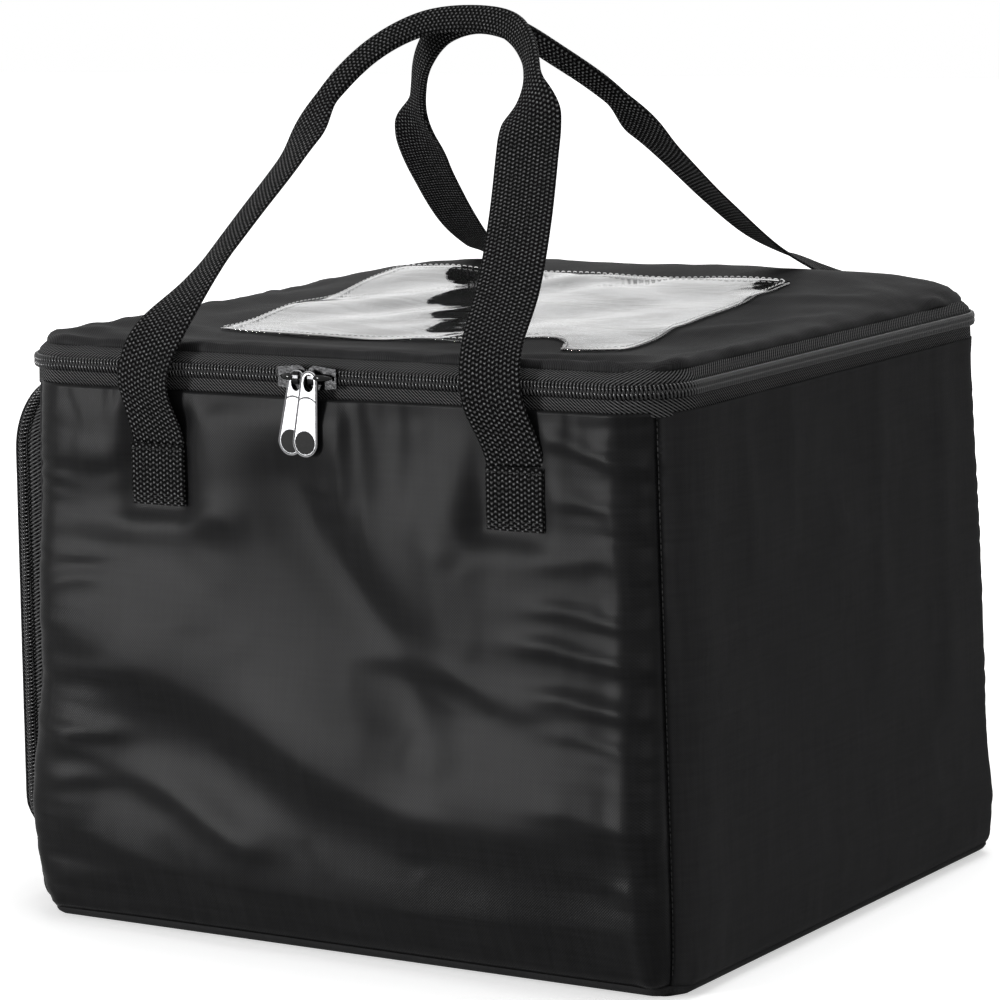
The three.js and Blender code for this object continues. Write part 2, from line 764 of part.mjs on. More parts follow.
// The hood: an arch over the outer plate, open towards both ends of the slider.
function hood(centre, turn) {
  const shape = new THREE.Shape();
  const outer = hoodHalfLength + hoodThickness;
  const rise = hoodHeight + hoodThickness;
  const foot = -sliderPlate / 2;
  const shoulder = 0.45;
  shape.moveTo(-outer, foot);
  shape.lineTo(-outer, rise * shoulder);
  shape.quadraticCurveTo(-outer, rise, 0, rise);
  shape.quadraticCurveTo(outer, rise, outer, rise * shoulder);
  shape.lineTo(outer, foot);
  shape.lineTo(hoodHalfLength, foot);
  shape.lineTo(hoodHalfLength, hoodHeight * shoulder);
  shape.quadraticCurveTo(hoodHalfLength, hoodHeight, 0, hoodHeight);
  shape.quadraticCurveTo(-hoodHalfLength, hoodHeight, -hoodHalfLength, hoodHeight * shoulder);
  shape.lineTo(-hoodHalfLength, foot);
  // Arch in the y-z plane, its width along x.
  const geometry = extrude(shape, hoodWidth).applyMatrix4(new THREE.Matrix4().makeBasis(
    new THREE.Vector3(0, 0, 1), new THREE.Vector3(0, 1, 0), new THREE.Vector3(-1, 0, 0)));
  return geometry.translate(hoodWidth / 2, 0, 0).rotateY(turn).translate(centre, outerPlateOut, 0);
}

function slider(hoodCentre, halfWidth, innerHalfWidth, spine, turn = 0) {
  const half = sliderLength / 2;
  const heading = spine[1] < 0 ? 0 : Math.PI;
  const outer = plate(half, halfWidth, outerPlateIn, outerPlateOut).rotateY(heading);
  const inner = plate(half, innerHalfWidth, innerPlateIn, innerPlateOut).rotateY(heading);
  const sunk = sliderPlate / 2;
  const neck = box(
    [-neckLength / 2, innerPlateOut - sunk, -neckThickness / 2],
    [neckLength / 2, outerPlateIn + sunk, neckThickness / 2],
  );
  const ridge = box(
    [Math.min(...spine), outerPlateOut - sunk, -hoodThickness],
    [Math.max(...spine), outerPlateOut + hoodThickness, hoodThickness],
  );
  return join(outer, inner, neck, hood(hoodCentre, turn), ridge);
}

// Pull, in its own frame: x across, y out of its face and -z down its length, with the axis that
// it swings on at the origin, in the middle of the bar under the hood.
function pull(lean, tipRadius) {
  const drop = pullLength - pullBar / 2 - pullTopRadius * 2 - tipRadius + pullTopRadius;
  const slant = Math.asin((tipRadius - pullTopRadius) / drop);
  const outline = new THREE.Shape();
  outline.absarc(0, 0, pullTopRadius, -slant, Math.PI + slant, false);
  outline.absarc(0, -drop, tipRadius, Math.PI + slant, 2 * Math.PI - slant, false);
  const eye = new THREE.Path();
  eye.absarc(0, 0, pullEyeRadius, 0, 2 * Math.PI, true);
  outline.holes.push(eye);
  const geometry = extrude(outline, pullThickness, 10);
  geometry.rotateX(Math.PI / 2);
  geometry.translate(0, pullThickness / 2, 0);
  geometry.rotateY(radians(lean));
  return geometry.translate(0, 0, -pullEyeRadius - pullBar / 2);
}

const lidSliderWidths = [sliderHalfWidth, sliderInnerHalfWidth];

// Lid sliders: y of the slider's frame turns to face -Y.
function facingFront(group, x) {
  group.rotation.z = Math.PI;
  group.position.set(x, -bodyDepth / 2, zipLevel);
  root.add(group);
}

for (const [name, hoodX, way, lean] of [
  ['left', leftHood, -1, leftPullLean],
  ['right', rightHood, 1, rightPullLean],
]) {
  const hoodShift = way * hoodOffset;
  const centre = hoodX + hoodShift;
  const carrier = new THREE.Group();
  facingFront(carrier, centre);
  const ridge = [0, -way * ridgeReach];
  add(`lid_slider_${name}`, slider(hoodShift, ...lidSliderWidths, ridge), 'blackMetal', carrier);
  const swing = new THREE.Group();
  swing.position.set(hoodShift, pullAxisOut, 0);
  carrier.add(swing);
  add(`lid_pull_${name}`, pull(-lean, pullTipRadius), 'steel', swing);
}

// Door slider: low on the back run of the door's zip, with its chain upright.
const doorCarrier = new THREE.Group();
const doorChain = new THREE.Matrix4().makeBasis(
  new THREE.Vector3(0, 0, 1), new THREE.Vector3(0, 1, 0), new THREE.Vector3(-1, 0, 0));
doorCarrier.applyMatrix4(doorChain);
const doorChainX = leftFace(doorSliderHeight) - doorStand(doorSliderHeight);
doorCarrier.position.set(doorChainX, doorHalfDepth, doorSliderHeight);
root.add(doorCarrier);
const doorSliderWidths = [doorSliderHalfWidth, doorSliderInnerHalfWidth];
const doorSliderBody = slider(-hoodOffset, ...doorSliderWidths, [0, ridgeReach], Math.PI / 2);
add('door_slider', doorSliderBody, 'blackMetal', doorCarrier);
const doorSwing = new THREE.Group();
doorSwing.position.set(-hoodOffset, pullAxisOut, 0);
doorSwing.rotation.y = Math.PI / 2;
doorCarrier.add(doorSwing);
add('door_pull', pull(0, doorPullTipRadius), 'steel', doorSwing);

export default root;
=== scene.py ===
from math import cos, pi, radians, sin

import bmesh
import bpy
import numpy as np
from mathutils import Matrix, Vector


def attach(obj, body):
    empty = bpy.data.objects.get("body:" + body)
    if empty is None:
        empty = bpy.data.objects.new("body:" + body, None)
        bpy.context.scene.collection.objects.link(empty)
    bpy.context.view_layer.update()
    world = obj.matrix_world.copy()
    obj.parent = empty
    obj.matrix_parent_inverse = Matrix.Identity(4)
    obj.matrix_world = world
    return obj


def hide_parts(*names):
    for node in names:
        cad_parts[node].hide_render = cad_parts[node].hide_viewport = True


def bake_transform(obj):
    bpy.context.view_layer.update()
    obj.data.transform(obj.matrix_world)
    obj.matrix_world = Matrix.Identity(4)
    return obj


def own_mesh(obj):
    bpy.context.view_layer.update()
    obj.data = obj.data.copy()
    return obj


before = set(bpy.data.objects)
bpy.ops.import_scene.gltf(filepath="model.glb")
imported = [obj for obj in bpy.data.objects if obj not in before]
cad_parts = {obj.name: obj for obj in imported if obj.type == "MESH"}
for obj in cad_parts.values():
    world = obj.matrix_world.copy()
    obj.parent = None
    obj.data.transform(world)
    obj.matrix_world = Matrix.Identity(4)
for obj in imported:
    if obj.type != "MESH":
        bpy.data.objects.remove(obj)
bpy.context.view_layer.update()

scene = bpy.context.scene


# The camera, fitted to the bag's zip line, seams and bottom outline. It looks at the front and
# the right side from a little above the lid's height, and is turned slightly about its own axis.
def linked(name, data):
    """A new object in the scene."""
    made = bpy.data.objects.new(name, data)
    scene.collection.objects.link(made)
    return made


camera_place = Vector((1.07048, -1.68680, 0.50138))
camera_right = Vector((0.844299, 0.535132, -0.028147))
camera_up = Vector((-0.059455, 0.145747, 0.987534))
focal_length = 151.2
camera_data = bpy.data.cameras.new("camera")
camera_data.lens = focal_length
camera_data.sensor_width = 36
camera_data.clip_end = 60
camera = linked("camera", camera_data)
camera_back = camera_right.cross(camera_up)
turn = Matrix((camera_right, camera_up, camera_back)).transposed()
camera.matrix_world = Matrix.Translation(camera_place) @ turn.to_4x4()
scene.camera = camera


# The front panel: one width of coated nylon oxford that wraps both front corners. It is backed
# with foam and sewn in along four seams, so it crowns between them and puckers beside them.
BODY_WIDTH = 350.0
BODY_DEPTH = 315.0
ZIP_LEVEL = 267.0
FLARE = 4.5
TOP_RADIUS = 27.0
BOTTOM_RADIUS = 17.0
EDGE_RADIUS = 10.0
SEAM_HEIGHT = 5.0
PANEL_TOP = 257.8
SEAM_ANGLE = 46.0
CORNER_TUCK = 6.0
FOLD_DEPTH = 1.25
SEWN_HEIGHT = 224.0
PATCH_X = 97.0
FOOT_SHIFT = 4.5


def rows_of(*values):
    """Rows from columns, each an array or one number."""
    return np.stack(np.broadcast_arrays(*values), axis=-1)


def rise(distance, length):
    """Grows from 0 where the distance is 0 to 1 well beyond the length."""
    return 1 - np.exp(-distance / length)


def body_half(size, z):
    return size / 2 + FLARE * (1 - z / ZIP_LEVEL)


def corner_radius(z):
    return BOTTOM_RADIUS + (TOP_RADIUS - BOTTOM_RADIUS) * np.clip(z / ZIP_LEVEL, 0, 1)


def wall_point(side_x, side_y, angle, out, z):
    """A place on the body's wall, in millimetres, from its station, height and stand-off."""
    drop = np.clip(EDGE_RADIUS - z, 0, None)
    edge = EDGE_RADIUS - np.sqrt(np.clip(EDGE_RADIUS ** 2 - drop ** 2, 0, None))
    reach = corner_radius(z) + out - edge
    x = side_x * (body_half(BODY_WIDTH, z) - corner_radius(z)) + reach * np.cos(angle)
    y = side_y * (body_half(BODY_DEPTH, z) - corner_radius(z)) + reach * np.sin(angle)
    return rows_of(x, y, z)


def run_length(points):
    """The distance along a line, at each of its points."""
    return np.concatenate([[0], np.cumsum(np.linalg.norm(np.diff(points, axis=0), axis=1))])


def wall_path(start, end, step=2.4):
    """Stations round the wall between two angles: share of x and y, wall angle and distance.
    Each corner takes a quarter turn, and the flat side after it keeps the corner's last angle."""
    corners = np.array([(1, 1), (-1, 1), (-1, -1), (1, -1)])
    mean_radius = (TOP_RADIUS + BOTTOM_RADIUS) / 2
    rows = []
    for quarter in range(int(start // 90), int(np.ceil(end / 90))):
        here, ahead = corners[quarter % 4], corners[(quarter + 1) % 4]
        turn = 90 * (quarter + 1)
        low, high = radians(max(start, turn - 90)), radians(min(end, turn))
        count = max(2, int((high - low) * mean_radius / step))
        rows += [(*here, low + (high - low) * i / count) for i in range(count + 1)]
        if end > turn or end - start == 360:
            size = BODY_WIDTH if here[0] != ahead[0] else BODY_DEPTH
            count = int((size - 2 * mean_radius) / step)
            rows += [(*(here + (ahead - here) * i / count), high) for i in range(1, count)]
    side_x, side_y, angle = np.array(rows).T
    return side_x, side_y, angle, run_length(wall_point(side_x, side_y, angle, 0, np.float64(130)))


def ripple(x, y, seed, across, along, count=24):
    """Smooth random waves with a typical length across and along, from a fixed seed."""
    source = np.random.RandomState(seed)
    total = 0
    for _ in range(count):
        turns = source.uniform(0.55, 1.45, 2) * source.choice([-1, 1], 2)
        phase = source.uniform(0, 2 * pi)
        total = total + np.cos(2 * pi * (x * turns[0] / across + y * turns[1] / along) + phase)
    return total / np.sqrt(count / 2)


def mesh_piece(name, points, faces, uv=None):
    """A smooth mesh object from points in millimetres, with its weave map in metres."""
    mesh = bpy.data.meshes.new(name)
    mesh.from_pydata((np.array(points, float).reshape(-1, 3) / 1000).tolist(), [], faces)
    if uv is not None:
        layer = mesh.uv_layers.new(name="weave")
        corner = np.zeros(len(mesh.loops), np.int32)
        mesh.loops.foreach_get("vertex_index", corner)
        layer.data.foreach_set("uv", (np.array(uv, float).reshape(-1, 2)[corner] / 1000).ravel())
    mesh.shade_smooth()
    return linked(name, mesh)


def grid_faces(rows, columns, ring=False):
    """Quads of a grid whose rows follow each other upwards and columns to the right."""
    last = columns if ring else columns - 1
    return [
        (r * columns + c, r * columns + (c + 1) % columns,
         (r + 1) * columns + (c + 1) % columns, (r + 1) * columns + c)
        for r in range(rows - 1) for c in range(last)
    ]


def dress(piece, finish, body, slot, *nodes, wall=None, fill=None):
    """A piece's material, cloth thickness in millimetres, body and replaced CAD nodes. The slot is not used.
    """
    if finish:
        piece.data.materials.append(finish)
    if wall:
        thickness = piece.modifiers.new("thickness", "SOLIDIFY")
        thickness.thickness = wall / 1000
        thickness.offset = -1
    if body:
        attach(piece, body)
    if nodes:
        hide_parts(*nodes)


def pillow(u, v, wide, high, crown, seam=1.5, hem=2.1):
    """Stand-off of a padded panel: pulled in at its seams, crowned between them, and laid on
    the zip's tape at its hem."""
    sides = rise(np.minimum(u, wide - u), 4.5)
    dome = np.sqrt(np.clip(np.sin(pi * u / wide), 0, 1) * np.clip(np.sin(pi * v / high), 0, 1))
    middle = sides * rise(v, 4.5) * (seam + 0.6 + crown * dome)
    return -seam + middle + np.exp((v - high) / 6) * sides * (hem - 0.6)


def puckers(u, v, wide, high, seed, depth, reach=16):
    """Short wrinkles that start at each seam, run away from it and fade."""
    left, right, low = (rise(away, 4) * np.exp(-away / reach) for away in (u, wide - u, v))
    upright = np.abs(ripple(u, v, seed, 110, 19)) - 0.6
    level = np.abs(ripple(u, v, seed + 1, 22, 110)) - 0.6
    return depth * (1.6 * (left + right) * upright + 0.6 * (low + np.exp((v - high) / reach)) * level)


def fold(along, across, crest, above, below, height, fade=18):
    """A soft fold: a ridge along a crest line, with its own width on each side of the crest."""
    crest = np.array(crest, float)
    fine = np.linspace(crest[0, 0], crest[-1, 0], 160)
    line = np.interp(fine, crest[:, 0], crest[:, 1])
    kernel = np.ones(25) / 25
    padded = np.concatenate([np.full(24, line[0]), line, np.full(24, line[-1])])
    line = np.convolve(np.convolve(padded, kernel, "same"), kernel, "same")[24:-24]
    away = across - np.interp(along, fine, line)
    width = np.where(away > 0, above, below)
    beyond = np.clip(crest[0, 0] - along, 0, None) + np.clip(along - crest[-1, 0], 0, None)
    return height * np.exp(-(away / width) ** 2 - (beyond / fade) ** 2)


def corner_draw(angle, z):
    """How far the cloth is drawn in at a corner: at every foot, and higher up at the back right.
    At the front left it swells out instead."""
    foot = CORNER_TUCK * np.exp(-np.clip(z - SEAM_HEIGHT, 0, None) / 12)
    front_left = (np.cos(angle) < 0) & (np.sin(angle) < 0)
    back_right = (np.cos(angle) > 0) & (np.sin(angle) > 0)
    higher = np.where(front_left, -4.5, 0) + np.where(back_right, 4.0, 0)
    most = np.where(np.sin(angle) > 0, 3.6, 4.8)
    drawn = np.minimum(foot + higher * np.exp(-((z - 50) / 42) ** 2), most)
    return np.sin(2 * angle) ** 2 * drawn


def padded_wall(name, path, crown, seed, level, upright, depth, waves=0.5, sewn=(), bulges=()):
    """A padded wall panel between two upright seams, with its folds, bulges and sewn-down places."""
    side_x, side_y, angle, distance = path
    bottom = SEAM_HEIGHT + 0.3
    heights = np.append(np.arange(bottom, PANEL_TOP + 0.01, 2.2), PANEL_TOP)
    z, u = np.meshgrid(heights, distance, indexing="ij")
    v = z - bottom
    wide, high = distance[-1], PANEL_TOP - bottom
    out = pillow(u, v, wide, high, crown) + puckers(u, v, wide, high, seed, depth)
    held = rise(u, 12) * rise(wide - u, 5)
    for crest, above, below, height in level:
        out = out + FOLD_DEPTH * held * fold(u, v, crest, above, below, height)
    for crest, above, below, height in upright:
        out = out + FOLD_DEPTH * fold(v, u, crest, above, below, height)
    for mid_u, mid_v, size_u, size_v, height in bulges:
        out = out + held * height * np.exp(-((u - mid_u) / size_u) ** 2 - ((v - mid_v) / size_v) ** 2)
    out = out + waves * rise(np.minimum(np.minimum(u, wide - u), v), 25) * ripple(u, v, seed + 2, 95, 120)
    for middle in sewn:
        beside = np.clip((np.abs(u - middle) - 12) / 9, 0, None)
        beyond = np.clip((np.abs(z - SEWN_HEIGHT) - 19) / 8, 0, None)
        out = out + np.exp(-beside ** 2 - beyond ** 2) * (0.4 - out)
    points = wall_point(side_x, side_y, angle, out - corner_draw(angle, z), z)
    return mesh_piece(name, points, grid_faces(*z.shape), rows_of(u, v))


def node_in(tree, kind, links=(), **values):
    """A shader or geometry node with its settings, and its inputs as (input, value or output)."""
    node = tree.nodes.new(kind)
    for key, value in values.items():
        setattr(node, key, value)
    for socket, source in links:
        if isinstance(source, bpy.types.NodeSocket):
            tree.links.new(source, node.inputs[socket])
        else:
            node.inputs[socket].default_value = source
    return node


def math_in(tree, operation, first, second=0.0, third=0.0):
    return node_in(tree, "ShaderNodeMath", [(0, first), (1, second), (2, third)],
                   operation=operation).outputs[0]


def noise_in(tree, scale, detail=2.0, distortion=0.0, place=None, **values):
    """Noise over the object's own coordinates, or over a given place."""
    place = place or node_in(tree, "ShaderNodeTexCoord").outputs["Object"]
    return node_in(tree, "ShaderNodeTexNoise", [
        ("Vector", place), ("Scale", scale), ("Detail", detail), ("Distortion", distortion),
    ], **values).outputs["Fac"]


def bump_in(tree, strength, distance, height, *links):
    return node_in(tree, "ShaderNodeBump", [
        ("Strength", strength), ("Distance", distance), ("Height", height), *links]).outputs[0]


def split_in(tree, place):
    return node_in(tree, "ShaderNodeSeparateXYZ", [(0, place)]).outputs


def weave_place(tree):
    return node_in(tree, "ShaderNodeUVMap", uv_map="weave").outputs[0]


def colour(value):
    return (*value, 1) if isinstance(value, tuple) else (value, value, value, 1)


def mix_colour(tree, factor, low, high):
    node = node_in(tree, "ShaderNodeMix", data_type="RGBA")
    tree.links.new(factor, node.inputs["Factor"])
    node.inputs["A"].default_value = colour(low)
    node.inputs["B"].default_value = colour(high)
    return node.outputs["Result"]


def map_range(tree, value, low, high):
    """Scales a value from 0 to 1 onto low to high."""
    return math_in(tree, "MULTIPLY_ADD", value, high - low, low)


def pattern_group(name, pitch, extra, outputs):
    """An empty shader node group with a place, a pitch and one more input: tree, inputs, outputs."""
    tree = bpy.data.node_groups.new(name, "ShaderNodeTree")
    tree.interface.new_socket("Place", in_out="INPUT", socket_type="NodeSocketVector")
    for label, value in (("Pitch", pitch), extra):
        tree.interface.new_socket(label, in_out="INPUT", socket_type="NodeSocketFloat").default_value = value
    for label in outputs:
        tree.interface.new_socket(label, in_out="OUTPUT", socket_type="NodeSocketFloat")
    return tree, tree.nodes.new("NodeGroupInput").outputs, tree.nodes.new("NodeGroupOutput").inputs


# Plain weave: threads cross over and under each other, so the height is a checker of soft
# bumps. Noise stretched along the threads gives them slubs.
weave, given, result = pattern_group("plain weave", 0.001, ("Slub", 0.3), ("Height", "Tone"))
split = split_in(weave, given["Place"])
turns = math_in(weave, "DIVIDE", 2 * pi, given["Pitch"])
warp, weft = (math_in(weave, "SINE", math_in(weave, "MULTIPLY", split[axis], turns)) for axis in (0, 1))
bumps = math_in(weave, "MULTIPLY_ADD", math_in(weave, "MULTIPLY", warp, weft), 0.5, 0.5)
slub, cross_slub = (
    noise_in(weave, 1.0, place=node_in(weave, "ShaderNodeMapping", [
        ("Vector", given["Place"]), ("Scale", scale)]).outputs[0])
    for scale in ((30, 500, 1), (500, 30, 1)))
slubs = math_in(weave, "ADD", slub, math_in(weave, "SUBTRACT", cross_slub, 1.0))
weave.links.new(bumps, result["Height"])
# The tone is the height with the slubs added: thread tops painted lighter than the gaps as painted sheen and
# painted shade, and slubs that vary it at random.
weave.links.new(math_in(weave, "MULTIPLY_ADD", slubs, given["Slub"], bumps), result["Tone"])


def group_in(tree, group, **links):
    node = node_in(tree, "ShaderNodeGroup", node_tree=group)
    for label, source in links.items():
        if isinstance(source, bpy.types.NodeSocket):
            tree.links.new(source, node.inputs[label])
        else:
            node.inputs[label].default_value = source
    return node.outputs


def new_finish(name, **values):
    """A material whose Principled shader has these constants, its tree and the shader."""
    material = bpy.data.materials.new(name)
    material.use_nodes = True
    shader = material.node_tree.nodes["Principled BSDF"]
    for label, value in values.items():
        shader.inputs[label.replace("_", " ")].default_value = value
    return material, material.node_tree, shader


def join(shader, **sources):
    """Links outputs to a shader's inputs."""
    for label, source in sources.items():
        shader.id_data.links.new(source, shader.inputs[label.replace("_", " ")])


def noise_finish(name, scale, dark, light, rough=None, bump=None, detail=2.0, **values):
    """A material whose colour, roughness and bumps follow one noise."""
    material, tree, shader = new_finish(name, **values)
    grain = noise_in(tree, scale, detail)
    join(shader, Base_Color=mix_colour(tree, grain, dark, light))
    if rough:
        join(shader, Roughness=map_range(tree, grain, *rough))
    if bump:
        join(shader, Normal=bump_in(tree, *bump, grain))
    return material


def nylon_finish(name, dark, light, rough_low, rough_high, pitch, specular):
    """Coated nylon oxford: satin threads with their tops painted lighter than the gaps between them, a
    painted sheen and painted shade, and faint creases and worn places.
    """
    material, tree, shader = new_finish(name, Specular_IOR_Level=specular)
    cloth = group_in(tree, weave, Place=weave_place(tree), Pitch=pitch, Slub=0.7)
    patchy = map_range(tree, noise_in(tree, 22.0, 3.0), rough_low, rough_high)
    gaps = math_in(tree, "SUBTRACT", 1.0, cloth["Height"])
    crease = noise_in(tree, 30.0, 3.0, 0.8, noise_type="RIDGED_MULTIFRACTAL")
    soft = bump_in(tree, 0.5, 0.0016, crease)
    join(shader, Base_Color=mix_colour(tree, cloth["Tone"], dark, light),
         Roughness=math_in(tree, "MULTIPLY_ADD", gaps, 0.32, patchy),
         Normal=bump_in(tree, 0.4, 0.00017, cloth["Height"], ("Normal", soft)))
    return material


oxford = nylon_finish("nylon oxford", (0.0008, 0.0008, 0.0009), (0.0085, 0.0085, 0.009), 0.2, 0.28,
                      0.0013, 0.085)


# The front panel as it was photographed. Each fold has its crest's points, its widths above and
# below the crest, and its height. Level crests run along the panel, and upright ones run up it.
# Each bulge has its middle, its two sizes and its height, all in millimetres.
front_path = wall_path(225, 270 + SEAM_ANGLE)
front_level = [
    ([(0, 150), (18, 138), (76, 127), (116, 111), (155, 92), (190, 77), (240, 68), (290, 70), (350, 76)],
     38, 19, 5.6),
    ([(196, 100), (230, 88), (270, 85), (329, 101)], 20, 24, 1.0),
    ([(202, 138), (234, 135), (271, 122), (330, 123)], 8, 7, 1.2),
    ([(0, 54), (40, 42), (71, 32), (125, 25), (216, 24), (300, 28), (350, 30)], 44, 14, 4.8),
    ([(30, 84), (85, 66), (128, 44)], 12, 8, 1.6),
    ([(6, 186), (63, 190), (112, 197)], 7, 11, 1.5),
    ([(0, 226), (30, 219), (62, 222)], 9, 6, 1.1),
    ([(16, 240), (90, 238), (176, 240)], 12, 36, 2.6),
    ([(300, 166), (318, 163), (338, 158)], 4, 4, 1.2),
    ([(292, 150), (318, 145), (338, 144)], 4, 5, 1.5),
    ([(300, 128), (322, 124), (338, 121)], 4, 4, 1.2),
    ([(306, 112), (338, 104)], 5, 4, 1.0),
    ([(310, 214), (338, 206)], 5, 5, 1.1),
    ([(302, 240), (322, 233), (338, 229)], 5, 4, 1.4),
    ([(300, 186), (322, 190), (338, 184)], 6, 5, 1.0),
    ([(302, 78), (338, 70)], 6, 5, 0.9),
    ([(304, 52), (338, 40)], 7, 5, 1.0),
    ([(0, 176), (16, 172), (30, 173)], 5, 4, 1.2),
    ([(0, 164), (14, 160), (34, 163)], 4, 5, 1.1),
    ([(0, 122), (20, 117), (46, 119)], 6, 4, 1.3),
    ([(0, 94), (24, 88), (44, 91)], 5, 5, 1.1),
    ([(0, 72), (20, 66), (36, 68)], 5, 4, 1.0),
    ([(0, 24), (24, 18), (50, 20)], 7, 5, 1.2),
]
front_upright = [
    ([(92, 226), (150, 204), (176, 178), (213, 152)], 19, 26, -3.0),
    ([(150, 240), (195, 232)], 22, 12, 1.6),
    ([(206, 171), (246, 168)], 5, 5, 0.5),
    ([(212, 184), (250, 181)], 4, 5, 0.6),
    ([(196, 197), (250, 194)], 5, 4, 0.5),
    ([(222, 214), (250, 217)], 5, 5, 0.4),
    ([(226, 34), (252, 37)], 6, 5, 0.5),
    ([(222, 98), (252, 101)], 6, 6, 0.5),
    ([(214, 300), (252, 297)], 6, 6, 0.5),
    ([(10, 330), (120, 329), (240, 327)], 8, 5, 1.1),
]
front_bulges = [
    (38, 100, 34, 16, 2.2), (14, 60, 26, 62, 2.2), (215, 195, 26, 40, 1.8), (150, 12, 90, 16, -1.0),
    (285, 135, 50, 60, 4.0),
]
front_middle = 170.3
front_panel = padded_wall("front_cloth", front_path, 2.6, 11, front_level, front_upright, 0.55,
                          sewn=[front_middle - PATCH_X + FOOT_SHIFT, front_middle + PATCH_X + FOOT_SHIFT],
                          bulges=front_bulges)
dress(front_panel, oxford, "bag", "nylon", "front_panel", "front_foam", wall=1.2, fill=0.6)


# The right side and the back: the same nylon. The right side is cut plainer, with its dull face outwards, and
# the back has the front's finish.
plain_nylon = nylon_finish("plain nylon", (0.011, 0.011, 0.0115), (0.021, 0.021, 0.0215), 0.6, 0.72,
                           0.0008, 0.06)
right_path = wall_path(270 + SEAM_ANGLE, 450 - SEAM_ANGLE)
right_level = [
    ([(0, 152), (16, 147), (34, 150)], 5, 4, 0.9),
    ([(0, 118), (14, 115), (30, 117)], 4, 5, 0.8),
    ([(0, 206), (14, 202), (26, 204)], 5, 5, 0.7),
    ([(40, 34), (120, 24), (220, 30), (300, 26)], 16, 9, 1.2),
]
right_upright = [
    ([(190, 66), (250, 60)], 8, 7, 0.8),
    ([(200, 106), (250, 104)], 7, 8, 0.6),
    ([(150, 190), (250, 196)], 9, 8, 0.8),
    ([(90, 256), (240, 262)], 12, 10, 0.9),
    ([(20, 26), (120, 22), (240, 24)], 12, 8, 0.8),
]
right_panel = padded_wall("right_cloth", right_path, 1.4, 31, right_level, right_upright, 0.25, waves=0.3)
back_path = wall_path(90 - SEAM_ANGLE, 135)
back_level = [
    ([(0, 130), (60, 124), (150, 100), (240, 84), (340, 90)], 34, 15, 4.2),
    ([(20, 44), (120, 34), (220, 42), (330, 60)], 24, 12, 2.8),
    ([(120, 180), (200, 168), (300, 172)], 18, 10, 2.0),
    ([(0, 206), (30, 200), (50, 203)], 5, 4, 1.0),
    ([(296, 150), (318, 146), (340, 148)], 5, 5, 1.1),
    ([(300, 110), (340, 104)], 5, 4, 1.0),
]
back_upright = [([(200, 160), (250, 164)], 6, 5, 1.0), ([(210, 220), (250, 217)], 5, 6, 0.9)]
back_middle = back_path[3][-1] / 2
back_panel = padded_wall("back_cloth", back_path, 2.6, 51, back_level, back_upright, 0.7,
                         sewn=[back_middle - PATCH_X - FOOT_SHIFT, back_middle + PATCH_X - FOOT_SHIFT])
dress(right_panel, plain_nylon, "bag", "nylon", "right_panel", "right_foam", wall=1.2, fill=0.6)
dress(back_panel, oxford, "bag", "nylon", "back_panel", "back_foam", wall=1.2, fill=0.6)


# The frame of the door in the left side: one padded piece of nylon round the door's opening,
# from its seams in the two left corners to the binding that the door's zip is sewn to.
DOOR_HALF = 136.0
DOOR_BOTTOM = 20.0
DOOR_TOP = 251.0
DOOR_MIDDLE = (DOOR_BOTTOM + DOOR_TOP) / 2
OPENING_MARGIN = 5.0


def door_outline(inset, step=3.0, closed=False):
    """The door's outline, up the front, over and down the back: y, z and outward normal."""
    half, low, high = DOOR_HALF - inset, DOOR_BOTTOM + inset, DOOR_TOP - inset
    foot, top = 34.0 - inset, 30.0 - inset
    corners = [(-half + foot, low + foot, foot), (-half + top, high - top, top),
               (half - top, high - top, top), (half - foot, low + foot, foot)]
    normals = [(-1, 0), (0, 1), (1, 0), (0, -1)]
    rows = []
    for number, (y, z, radius) in enumerate(corners):
        count = int(radius * pi / 2 / step) + 1
        for i in range(count + 1):
            a = radians(270 - 90 * number - 90 * i / count)
            rows.append((y + radius * cos(a), z + radius * sin(a), cos(a), sin(a)))
        if number == 3 and not closed:
            break
        normal = normals[number]
        next_y, next_z, next_radius = corners[(number + 1) % 4]
        start = np.array([y + radius * normal[0], z + radius * normal[1]])
        end = np.array([next_y + next_radius * normal[0], next_z + next_radius * normal[1]])
        count = int(np.hypot(*(end - start)) / step)
        rows += [(*(start + (end - start) * i / count), *normal) for i in range(1, count)]
    return np.array(rows)


def left_wall(d, z, out):
    """A place on the left wall, d millimetres along it from its middle, round its corners too."""
    flat = body_half(BODY_DEPTH, z) - corner_radius(z)
    over = np.clip(np.abs(d) - flat, 0, None) / corner_radius(z)
    angle = pi - np.sign(d) * over
    return wall_point(-1, np.clip(d / flat, -1, 1), angle, out - corner_draw(angle, z), z)


def corner_seam(z):
    """How far along the left wall the upright seam in its corner lies."""
    return body_half(BODY_DEPTH, z) + corner_radius(z) * (pi / 4 - 1) + 0.4


